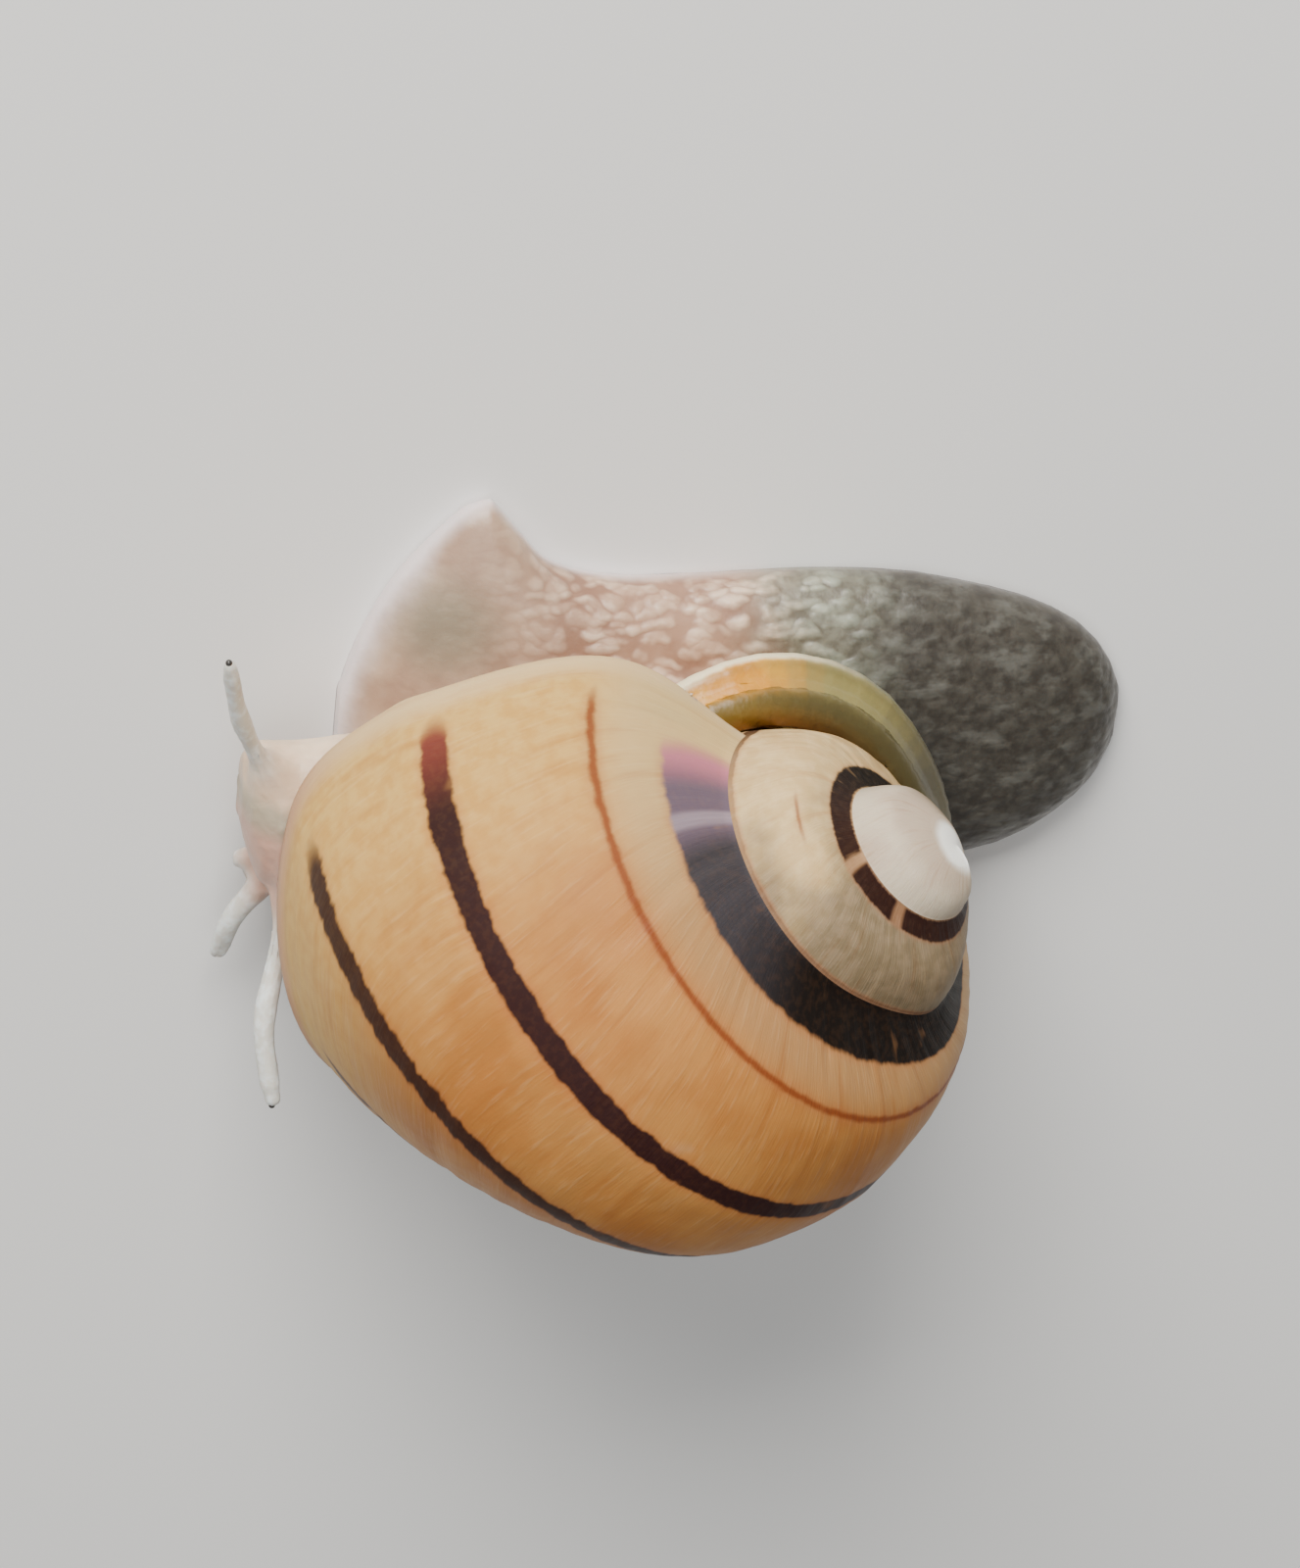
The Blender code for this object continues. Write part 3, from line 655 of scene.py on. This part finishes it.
def raise_tubercles(skin, finish):
    """Raise the long tubercles of the skin with Geometry Nodes, where the mark rough allows."""
    tree = bpy.data.node_groups.new("skin tubercles", "GeometryNodeTree")
    face = tree.interface
    face.new_socket("Skin", in_out="INPUT", socket_type="NodeSocketGeometry")
    sizes = {}
    for label, value in (("Length", TUBERCLE_LENGTH), ("Width", TUBERCLE_WIDTH),
                         ("Height", TUBERCLE_HEIGHT * MM), ("Seed", TUBERCLE_SEED)):
        socket = face.new_socket(label, in_out="INPUT", socket_type="NodeSocketFloat")
        sizes[socket.identifier] = value
    socket = face.new_socket("Finish", in_out="INPUT", socket_type="NodeSocketMaterial")
    sizes[socket.identifier] = finish
    face.new_socket("Skin", in_out="OUTPUT", socket_type="NodeSocketGeometry")
    web = Web(tree)
    given = web.node("NodeGroupInput").outputs
    scale = web.node("ShaderNodeCombineXYZ")
    for socket, label in zip(scale.inputs, ("Width", "Length", "Width")):
        web.feed(socket, given[label])
    place = web.stretch(web.node("GeometryNodeInputPosition").outputs[0], 1 / MM)
    dome = web.tubercles(place, scale.outputs[0], given["Seed"])
    mask = web.node("GeometryNodeInputNamedAttribute", data_type="FLOAT")
    mask.inputs["Name"].default_value = "rough"
    lift = web.times(web.times(dome, mask.outputs[0]), given["Height"])
    move = web.node("ShaderNodeVectorMath", operation="SCALE")
    web.feed(move.inputs[0], web.node("GeometryNodeInputNormal").outputs[0])
    web.feed(move.inputs["Scale"], lift)
    shift = web.node("GeometryNodeSetPosition")
    web.feed(shift.inputs["Geometry"], given["Skin"])
    web.feed(shift.inputs["Offset"], move.outputs[0])
    whole = web.node("GeometryNodeRealizeInstances")
    web.feed(whole.inputs[0], shift.outputs[0])
    coat = web.node("GeometryNodeSetMaterial")
    web.feed(coat.inputs["Geometry"], whole.outputs[0])
    web.feed(coat.inputs["Material"], given["Finish"])
    web.feed(web.node("NodeGroupOutput").inputs[0], coat.outputs[0])
    step = skin.modifiers.new("tubercles", "NODES")
    step.node_group = tree
    for identifier, value in sizes.items():
        step[identifier] = value
    finished(skin)


# ======== materials ========

def new_material(name):
    """Empty material with its shader, and the shader itself."""
    finish = bpy.data.materials.new(name)
    finish.use_nodes = True
    return finish, finish.node_tree.nodes["Principled BSDF"]


def set_values(node, values):
    """Constant values on a node's own sockets."""
    for name, value in values.items():
        node.inputs[name].default_value = value


def named(socket_list, name):
    """Socket of a node by its name."""
    return next(s for s in socket_list if s.name == name and s.enabled)


class Web:
    """Short words for adding nodes to a tree."""

    def __init__(self, tree):
        self.tree = tree

    def node(self, kind, **settings):
        made = self.tree.nodes.new(kind)
        for key, value in settings.items():
            setattr(made, key, value)
        return made

    def feed(self, socket, value):
        if isinstance(value, bpy.types.NodeSocket):
            self.tree.links.new(value, socket)
        elif value is not None:
            wide = len(socket.default_value) if hasattr(socket.default_value, "__len__") else 0
            if wide and not hasattr(value, "__len__"):
                value = (value,) * wide
            elif wide == 4 and len(value) == 3:
                value = (*value, 1.0)
            socket.default_value = value

    def math(self, operation, a, b=None):
        made = self.node("ShaderNodeMath", operation=operation)
        for socket, value in zip(made.inputs, (a, b)):
            self.feed(socket, value)
        return made.outputs[0]

    def plus(self, a, b):
        return self.math("ADD", a, b)

    def minus(self, a, b):
        return self.math("SUBTRACT", a, b)

    def times(self, a, b):
        return self.math("MULTIPLY", a, b)

    def sway(self, noise, amount):
        """Noise made to swing both ways about 0."""
        return self.times(self.minus(noise, 0.5), amount)

    def apart(self, a, b):
        """Plain distance between two numbers."""
        return self.math("ABSOLUTE", self.minus(a, b))

    def ramp(self, value, low, high, start=0.0, end=1.0):
        made = self.node("ShaderNodeMapRange", interpolation_type="SMOOTHSTEP")
        for name, number in (("Value", value), ("From Min", low), ("From Max", high),
                             ("To Min", start), ("To Max", end)):
            self.feed(named(made.inputs, name), number)
        return made.outputs[0]

    def mix(self, part, a, b, blend="MIX"):
        made = self.node("ShaderNodeMix", data_type="RGBA", blend_type=blend)
        self.feed(named(made.inputs, "Factor"), part)
        colours = [s for s in made.inputs if s.type == "RGBA"]
        self.feed(colours[0], a)
        self.feed(colours[1], b)
        return next(s for s in made.outputs if s.type == "RGBA")

    def fade(self, value, low, high, a, b):
        """Colour a where value is below low, b where it is above high."""
        return self.mix(self.ramp(value, low, high), a, b)

    def mark(self, name):
        return self.node("ShaderNodeAttribute", attribute_name=name).outputs["Fac"]

    def millimetres(self):
        return self.stretch(self.node("ShaderNodeTexCoord").outputs["Object"], 1 / MM)

    def noise(self, vector, scale, detail=2.0, rough=0.5):
        made = self.node("ShaderNodeTexNoise")
        self.feed(made.inputs["Vector"], vector)
        set_values(made, {"Scale": scale, "Detail": detail, "Roughness": rough})
        return made.outputs["Fac"]

    def vector(self, operation, a, b):
        made = self.node("ShaderNodeVectorMath", operation=operation)
        self.feed(made.inputs[0], a)
        self.feed(made.inputs[1], b)
        return made.outputs[0]

    def stretch(self, vector, scale):
        return self.vector("MULTIPLY", vector, scale)

    def spot(self, place, middle, inner, outer):
        """1 near a point and 0 far from it, with distances in millimetres."""
        made = self.node("ShaderNodeVectorMath", operation="DISTANCE")
        for socket, value in zip(made.inputs, (place, middle)):
            self.feed(socket, value)
        return self.ramp(made.outputs["Value"], inner, outer, 1.0, 0.0)

    def tubercles(self, place, size, seed):
        """Soft long lumps of the skin: 1 on a crest and 0 in the grooves."""
        bend = self.node("ShaderNodeTexNoise")
        self.feed(bend.inputs["Vector"], place)
        set_values(bend, {"Scale": 0.9, "Detail": 2.0})
        bent = self.vector("MULTIPLY", self.vector("SUBTRACT", bend.outputs["Color"], 0.5), 0.9)
        cells = self.node("ShaderNodeTexVoronoi", feature="SMOOTH_F1")
        moved = self.vector("DIVIDE", self.vector("ADD", place, bent), size)
        self.feed(cells.inputs["Vector"], self.vector("ADD", moved, seed))
        set_values(cells, {"Scale": 1.0, "Smoothness": 0.25})
        return self.ramp(cells.outputs["Distance"], 0.16, 0.72, 1.0, 0.0)


def group(name, inputs, outputs):
    """Empty shader node group with named number sockets, and its two ends."""
    tree = bpy.data.node_groups.new(name, "ShaderNodeTree")
    for label, default in inputs:
        socket = tree.interface.new_socket(label, in_out="INPUT", socket_type="NodeSocketFloat")
        socket.default_value = default
    for label in outputs:
        tree.interface.new_socket(label, in_out="OUTPUT", socket_type="NodeSocketFloat")
    web = Web(tree)
    return web, web.node("NodeGroupInput").outputs, web.node("NodeGroupOutput").inputs


def add_bump(web, shader, height, depth):
    """Fine relief of a surface, with its depth in millimetres."""
    bump = web.node("ShaderNodeBump")
    set_values(bump, {"Strength": 0.5, "Distance": depth * MM})
    web.feed(bump.inputs["Height"], height)
    web.feed(shader.inputs["Normal"], bump.outputs[0])


def band_group():
    """Band painted along the whorl: how strongly it shows at a girth and an age."""
    web, given, result = group("shell band", (
        ("Age", 0.0), ("Girth", 0.0), ("Centre", 5.0), ("Half width", 0.3), ("Softness", 0.1),
        ("Start", 0.1), ("Fade", 0.01), ("Beads", 0.0), ("Wobble", 0.0)), ("Mask",))
    off = web.minus(given["Girth"], given["Centre"])
    off = web.math("ABSOLUTE", web.plus(off, given["Wobble"]))
    along = web.node("ShaderNodeCombineXYZ")
    web.feed(along.inputs[0], web.times(given["Age"], 95.0))
    web.feed(along.inputs[1], given["Centre"])
    bead = web.minus(web.noise(along.outputs[0], 1.0, 3.0, 0.6), 0.5)
    bead = web.times(bead, given["Beads"])
    half = web.plus(given["Half width"], bead)
    soft = given["Softness"]
    width = web.ramp(off, web.minus(half, soft), web.plus(half, soft), 1.0, 0.0)
    share = web.math("DIVIDE", off, given["Half width"])
    bend = web.times(web.times(share, share), 0.006)
    age = web.minus(given["Age"], bend)
    start, fade = given["Start"], given["Fade"]
    length = web.ramp(age, web.minus(start, fade), web.plus(start, fade))
    web.feed(result["Mask"], web.times(width, length))
    return web.tree


def shell_material():
    """Satin horn of the shell, with its five bands, growth lines and worn tip."""
    finish, shader = new_material("shell_horn")
    web = Web(finish.node_tree)
    band = band_group()
    mm = web.millimetres()
    coil = web.node("ShaderNodeUVMap", uv_map="coil").outputs[0]
    parts = web.node("ShaderNodeSeparateXYZ")
    web.feed(parts.inputs[0], coil)
    age, girth = parts.outputs[0], parts.outputs[1]
    soft = web.noise(mm, 0.35, 3.0)
    fine = web.noise(mm, 2.2, 3.0)
    streaks = web.noise(web.stretch(coil, (90.0, 0.13, 0.0)), 1.0, 3.0, 0.6)
    hairs = web.noise(web.stretch(coil, (420.0, 0.5, 0.0)), 1.0, 2.0, 0.6)

    honey = web.fade(soft, 0.35, 0.65, (0.40, 0.155, 0.036), (0.47, 0.21, 0.056))
    yellow = web.fade(fine, 0.3, 0.7, (0.56, 0.315, 0.078), (0.62, 0.39, 0.12))
    colour = web.mix(web.ramp(age, 0.02, 0.18, 1.0, 0.0), honey, yellow)
    upper = web.fade(age, 0.05, 0.25, (0.61, 0.43, 0.20), (0.38, 0.21, 0.088))
    colour = web.mix(web.ramp(girth, 3.4, 5.4, 0.75, 0.0), colour, upper)
    spire = web.fade(fine, 0.35, 0.7, (0.60, 0.41, 0.185), (0.68, 0.49, 0.25))
    colour = web.fade(age, 0.35, 0.95, colour, spire)
    # Darker grey-beige on the inner whorls from about 1.02 whorls on: in part their own duller
    # colour, in part painted shade of their lower, down-facing side.
    patch = web.plus(age, web.sway(soft, 0.5))
    inner = web.fade(fine, 0.38, 0.62, (0.185, 0.137, 0.080), (0.235, 0.172, 0.105))
    colour = web.mix(web.times(web.ramp(patch, 1.02, 1.24), 0.95), colour, inner)
    white = web.fade(soft, 0.38, 0.62, (0.50, 0.39, 0.29), (0.62, 0.53, 0.40))
    colour = web.fade(age, 1.80, 1.98, colour, white)
    worn = web.plus(web.mark("worn"), web.sway(soft, 1.2))
    colour = web.fade(worn, 0.25, 0.75, colour, (0.92, 0.91, 0.85))
    lip = web.fade(girth, 12.0, 16.0, (0.64, 0.45, 0.23), (0.50, 0.29, 0.17))
    colour = web.mix(web.ramp(age, 0.002, 0.018, 1.0, 0.0), colour, lip)
    darker = web.mix(1.0, colour, (0.74, 0.56, 0.42), "MULTIPLY")
    colour = web.mix(web.ramp(streaks, 0.50, 0.72, 0.0, 0.42), colour, darker)
    paler = web.mix(1.0, colour, (0.20, 0.15, 0.09), "SCREEN")
    colour = web.mix(web.ramp(hairs, 0.52, 0.72, 0.0, 0.30), colour, paler)

    shift = web.sway(fine, 0.24)
    gaps = web.noise(web.stretch(coil, (46.0, 0.4, 0.0)), 1.0, 2.0)
    narrowing = web.ramp(age, 0.62, 1.05, 1.46, 0.86)
    vanish = web.ramp(age, 0.62, 0.92, 1.0, 0.0)
    again = web.minus(web.ramp(age, 1.05, 1.08), web.ramp(age, 1.10, 1.14))
    vanish = web.plus(vanish, web.times(again, 0.7))
    breaks = None
    for spot in (1.20, 1.33):
        off = web.apart(age, spot)
        hole = web.ramp(off, 0.006, 0.018)
        breaks = hole if breaks is None else web.times(breaks, hole)
    grain = web.ramp(web.noise(mm, 5.0, 2.0), 0.42, 0.66, 1.0, 0.975)
    # middle, half width, softness, start, fade, beads, paint and strength of each band
    bands = (
        (0.95, narrowing, 0.14, 0.062, 0.012, 0.3, (0.004, 0.0035, 0.0035), 0.99),
        (4.75, 0.13, 0.10, 0.030, 0.012, 0.0, (0.20, 0.045, 0.012), 0.9),
        (9.70, 0.46, 0.09, 0.020, 0.008, 0.3, (0.022, 0.007, 0.008), 0.985),
        (15.05, 0.43, 0.12, 0.036, 0.010, 0.7, (0.026, 0.010, 0.008), 0.96),
        (21.6, 0.24, 0.10, 0.05, 0.010, 0.6, (0.045, 0.018, 0.012), 0.9))
    for centre, half, softness, start, fade, beads, paint, strength in bands:
        masks = []
        for wider, softer in ((0.0, 0.0), (0.16, 0.12)):
            made = web.node("ShaderNodeGroup", node_tree=band)
            reach = web.plus(half, wider)
            for label, value in (("Age", age), ("Girth", girth), ("Centre", centre),
                                 ("Half width", reach), ("Softness", softness + softer),
                                 ("Start", start), ("Fade", fade), ("Beads", beads),
                                 ("Wobble", shift)):
                web.feed(made.inputs[label], value)
            mask = web.times(made.outputs["Mask"], strength)
            masks.append(web.times(mask, web.ramp(age, 1.60, 1.75, 1.0, 0.0)))
        mask, halo = masks
        mask = web.times(mask, web.ramp(gaps, 0.26, 0.36, 0.80, 1.0))
        mask = web.times(mask, grain)
        if centre < 2:
            young = web.fade(age, 0.070, 0.105, (0.46, 0.15, 0.20), (0.120, 0.085, 0.115))
            young = web.fade(age, 0.135, 0.165, young, (0.040, 0.037, 0.043))
            young = web.fade(age, 0.20, 0.32, young, paint)
            off = web.apart(age, 0.132)
            streak = web.times(web.ramp(off, 0.003, 0.010, 0.5, 0.0), streaks)
            young = web.mix(streak, young, (0.62, 0.50, 0.55))
            paint = web.fade(age, 0.9, 1.15, young, (0.022, 0.008, 0.006))
            mask = web.times(mask, breaks)
        elif centre < 5:
            mask = web.times(mask, vanish)
            halo = web.times(halo, vanish)
        elif centre < 12:
            mask = web.times(mask, web.ramp(age, 0.85, 1.05, 1.0, 0.35))
            paint = web.mix(web.ramp(age, start, start + 0.05), (0.17, 0.035, 0.025), paint)
        colour = web.mix(web.times(halo, 0.34), colour, (0.36, 0.10, 0.035))
        colour = web.mix(mask, colour, paint)
    web.feed(shader.inputs["Base Color"], colour)
    web.feed(shader.inputs["Roughness"], web.plus(0.36, web.times(fine, 0.20)))
    set_values(shader, {"Specular IOR Level": 0.11, "Subsurface Weight": 0.10,
                        "Subsurface Radius": (1.0, 0.5, 0.25), "Subsurface Scale": 0.0005})
    height = web.plus(web.times(hairs, 0.8), web.times(fine, 0.3))
    add_bump(web, shader, height, 0.05)
    return finish


def skin_material():
    """Moist flesh, pale at the head, pinkish in the middle and dark grey at the tail."""
    finish, shader = new_material("snail_flesh")
    web = Web(finish.node_tree)
    mm = web.millimetres()
    parts = web.node("ShaderNodeSeparateXYZ")
    web.feed(parts.inputs[0], mm)
    x, y, z = parts.outputs
    soft = web.noise(mm, 0.5, 3.0)
    fine = web.noise(mm, 3.0, 3.0)

    size = (TUBERCLE_WIDTH, TUBERCLE_LENGTH, TUBERCLE_WIDTH)
    dome = web.tubercles(mm, size, TUBERCLE_SEED)
    rough = web.mark("rough")

    stray = web.minus(soft, 0.5)
    along = web.plus(y, web.times(stray, 2.4))
    front = web.fade(soft, 0.35, 0.65, (0.42, 0.27, 0.185), (0.56, 0.40, 0.28))
    pink = web.fade(soft, 0.35, 0.65, (0.36, 0.195, 0.125), (0.52, 0.32, 0.21))
    green = web.fade(fine, 0.35, 0.65, (0.16, 0.15, 0.11), (0.24, 0.24, 0.18))
    dark = web.fade(fine, 0.35, 0.65, (0.044, 0.038, 0.030), (0.070, 0.063, 0.050))
    blotch = web.noise(web.stretch(mm, (1.0, 0.6, 1.0)), 1.5, 3.0, 0.6)
    dark = web.mix(web.ramp(blotch, 0.48, 0.68, 0.0, 0.8), dark, (0.125, 0.122, 0.105))
    colour = web.fade(along, -5.5, -2.5, front, pink)
    murky = web.spot(mm, MURKY_SPOT, 0.4, 2.3)
    colour = web.mix(web.times(murky, 0.75), colour, (0.24, 0.22, 0.155))
    colour = web.fade(along, 0.8, 4.0, colour, green)
    colour = web.fade(along, 4.2, 6.8, colour, dark)
    crest = web.fade(along, 2.2, 4.6, (0.88, 0.68, 0.50), (0.42, 0.45, 0.36))
    crest = web.fade(along, 4.4, 7.0, crest, (0.115, 0.110, 0.095))
    pale = web.times(dome, web.ramp(blotch, 0.36, 0.62, 0.25, 1.0))
    colour = web.mix(web.times(pale, web.times(rough, 0.72)), colour, crest)
    groove = web.times(web.ramp(dome, 0.0, 0.35, 1.0, 0.0), rough)
    deep = web.mix(1.0, colour, (0.62, 0.52, 0.48), "MULTIPLY")
    colour = web.mix(web.times(groove, 0.5), colour, deep)
    height = web.plus(web.ramp(y, -7.5, -4.5, 1.25, 0.85), web.times(stray, 0.5))
    low = web.ramp(web.minus(height, z), 0.0, 0.6)
    margin = web.times(low, web.ramp(along, -3.0, 4.0, 0.9, 0.05))
    colour = web.mix(margin, colour, (0.88, 0.78, 0.78))
    cream = web.fade(soft, 0.38, 0.62, (0.72, 0.52, 0.35), (0.92, 0.72, 0.52))
    aside = web.plus(x, web.times(stray, 1.6))
    warm = web.fade(aside, -1.5, -0.7, cream, (0.42, 0.36, 0.26))
    warm = web.fade(aside, -0.6, 0.4, warm, (0.62, 0.36, 0.27))
    colour = web.mix(web.times(web.mark("head"), 0.9), colour, warm)
    clear = web.fade(fine, 0.4, 0.7, (0.64, 0.63, 0.57), (0.78, 0.82, 0.81))
    colour = web.mix(web.times(web.mark("mouth"), 0.8), colour, (0.16, 0.075, 0.055))
    colour = web.mix(web.mark("feeler"), colour, clear)
    # Painted shade: warm golden shadow of the hollow between the mantle edge and the spire, darker
    # further along the edge.
    under = web.fade(soft, 0.38, 0.62, (0.50, 0.26, 0.04), (0.80, 0.46, 0.09))
    under = web.fade(web.mark("crescent_along"), 0.35, 0.7, under, (0.30, 0.20, 0.08))
    colour = web.mix(web.mark("painted_shade_under_shell"), colour, under)

    turn, run = web.mark("crescent_turn"), web.mark("crescent_along")
    gold = web.fade(soft, 0.4, 0.6, (0.60, 0.245, 0.006), (0.70, 0.34, 0.020))
    gold = web.fade(run, 0.34, 0.50, gold, (0.26, 0.22, 0.075))
    # Toward the far end the gold and the rim turn dark grey: partly their own colour, partly painted
    # shade where the edge runs into the shade under the spire.
    gold = web.fade(run, 0.55, 0.80, gold, (0.10, 0.090, 0.060))
    rim = web.fade(run, 0.34, 0.62, (0.92, 0.80, 0.52), (0.26, 0.25, 0.16))
    rim = web.fade(run, 0.62, 0.82, rim, (0.11, 0.10, 0.075))
    olive = web.fade(run, 0.2, 0.5, (0.17, 0.105, 0.010), (0.085, 0.068, 0.022))
    # Painted shadow: dark zone on the inner side of the mantle edge, where it meets the shade against
    # the spire.
    painted_shadow_brown = web.fade(run, 0.3, 0.6, (0.26, 0.11, 0.012), (0.10, 0.055, 0.016))
    edge = web.plus(turn, web.sway(fine, 0.05))
    start = web.ramp(run, 0.17, 0.34, 0.0, -0.09)
    mantle = web.fade(web.minus(edge, start), 0.0, 0.08, rim, gold)
    line = web.times(web.ramp(edge, -0.04, 0.0), web.ramp(edge, 0.02, 0.08, 1.0, 0.0))
    mantle = web.mix(web.times(line, 0.3), mantle, olive)
    mantle = web.fade(edge, 0.30, 0.44, mantle, olive)
    # painted shadow next to the spire
    mantle = web.fade(edge, 0.44, 0.60, mantle, painted_shadow_brown)
    colour = web.mix(web.mark("mantle"), colour, mantle)
    web.feed(shader.inputs["Base Color"], colour)
    web.feed(shader.inputs["Roughness"], web.plus(0.32, web.times(fine, 0.2)))
    set_values(shader, {"Coat Weight": 0.2, "Coat Roughness": 0.25, "Subsurface Weight": 0.15,
                        "Subsurface Radius": (1.0, 0.5, 0.3), "Subsurface Scale": 0.0005})
    relief = web.times(dome, rough)
    grain = web.times(web.noise(mm, 6.0, 3.0), 0.5)
    add_bump(web, shader, web.plus(relief, grain), 0.06)
    return finish


def eye_material():
    """Wet dark eye."""
    finish, shader = new_material("eye_dark")
    web = Web(finish.node_tree)
    mm = web.millimetres()
    fleck = web.noise(mm, 9.0, 2.0)
    web.feed(shader.inputs["Base Color"], web.mix(fleck, (0.020, 0.018, 0.018), (0.050, 0.045, 0.04)))
    set_values(shader, {"Roughness": 0.2, "Coat Weight": 0.3})
    return finish


def floor_material():
    """Plain pale floor."""
    finish, shader = new_material("pale_floor")
    set_values(shader, {"Base Color": FLOOR_COLOUR, "Roughness": 0.75})
    return finish


# ======== the set ========

def add_floor():
    """Wide pale floor under the foot."""
    mesh = bpy.data.meshes.new("floor")
    half = FLOOR_HALF * MM
    mesh.from_pydata([(-half, -half, 0), (half, -half, 0), (half, half, 0), (-half, half, 0)], [],
                     [(0, 1, 2, 3)])
    thing = add_object("floor", mesh)
    mesh.materials.append(floor_material())


def add_light(name, place, size, power, colour):
    """Square soft light that faces the snail, placed in millimetres."""
    lamp = bpy.data.lights.new(name, "AREA")
    lamp.size = size * MM
    lamp.energy = power
    lamp.color = colour
    thing = add_object(name, lamp)
    spot = Vector(place) * MM
    aim = LIGHT_AIM * MM - spot
    thing.location = spot
    thing.rotation_euler = aim.to_track_quat("-Z", "Y").to_euler()


def add_lights():
    """Plain soft studio light: one wide key, one high fill and a pale sky."""
    for light in LIGHTS:
        add_light(*light)
    world = bpy.data.worlds.new("pale_sky")
    world.use_nodes = True
    set_values(world.node_tree.nodes["Background"], {"Color": SKY_COLOUR, "Strength": SKY_POWER})
    bpy.context.scene.world = world


def add_camera():
    """Camera above the snail's right side, turned with the snail."""
    lens = bpy.data.cameras.new("camera")
    lens.lens = CAMERA_LENS
    lens.sensor_width = 36.0
    lens.clip_start = 0.01
    thing = add_object("camera", lens)
    back = CAMERA_BACK.normalized()
    right = (CAMERA_RIGHT - back * CAMERA_RIGHT.dot(back)).normalized()
    above = back.cross(right)
    turn = Matrix((right, above, back)).transposed().to_4x4()
    thing.matrix_world = Matrix.Translation(CAMERA_PLACE * MM) @ turn
    bpy.context.scene.camera = thing


def make_eye(side, finish, skin):
    """Small glossy eye at the tip of an upper feeler."""
    eye = middle_of("eye_" + side)
    stem = (middle_of("tentacle_upper_" + side) - eye).normalized()
    away = corners(skin.data) - np.array(eye)
    height = -(away @ np.array(stem))
    aside = np.linalg.norm(away + np.outer(height, stem), axis=1)
    tip = float(height[aside < EYE_REACH].max())
    thing = add_object("eye_" + side + "_gloss",
                       ball(eye - stem * (tip - EYE_DEPTH), EYE_RADIUS, "eye"))
    thing.data.shade_smooth()
    thing.data.materials.append(finish)
    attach(thing, "root")
    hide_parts("eye_" + side)


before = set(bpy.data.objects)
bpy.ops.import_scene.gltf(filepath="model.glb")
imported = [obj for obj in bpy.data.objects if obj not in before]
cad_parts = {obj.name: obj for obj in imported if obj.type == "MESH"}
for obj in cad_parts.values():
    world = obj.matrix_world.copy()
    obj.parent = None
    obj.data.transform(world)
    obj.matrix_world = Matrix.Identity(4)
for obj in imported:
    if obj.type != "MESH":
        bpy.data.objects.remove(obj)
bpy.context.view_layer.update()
add_camera()
spiral = make_shell()
spiral.data.materials.append(shell_material())
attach(spiral, "root")
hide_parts("shell")
flesh = make_skin(skin_material())
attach(flesh, "root")
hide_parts(*FLESH)
dark_eye = eye_material()
for eye_side in ("right", "left"):
    make_eye(eye_side, dark_eye, flesh)
add_floor()
add_lights()
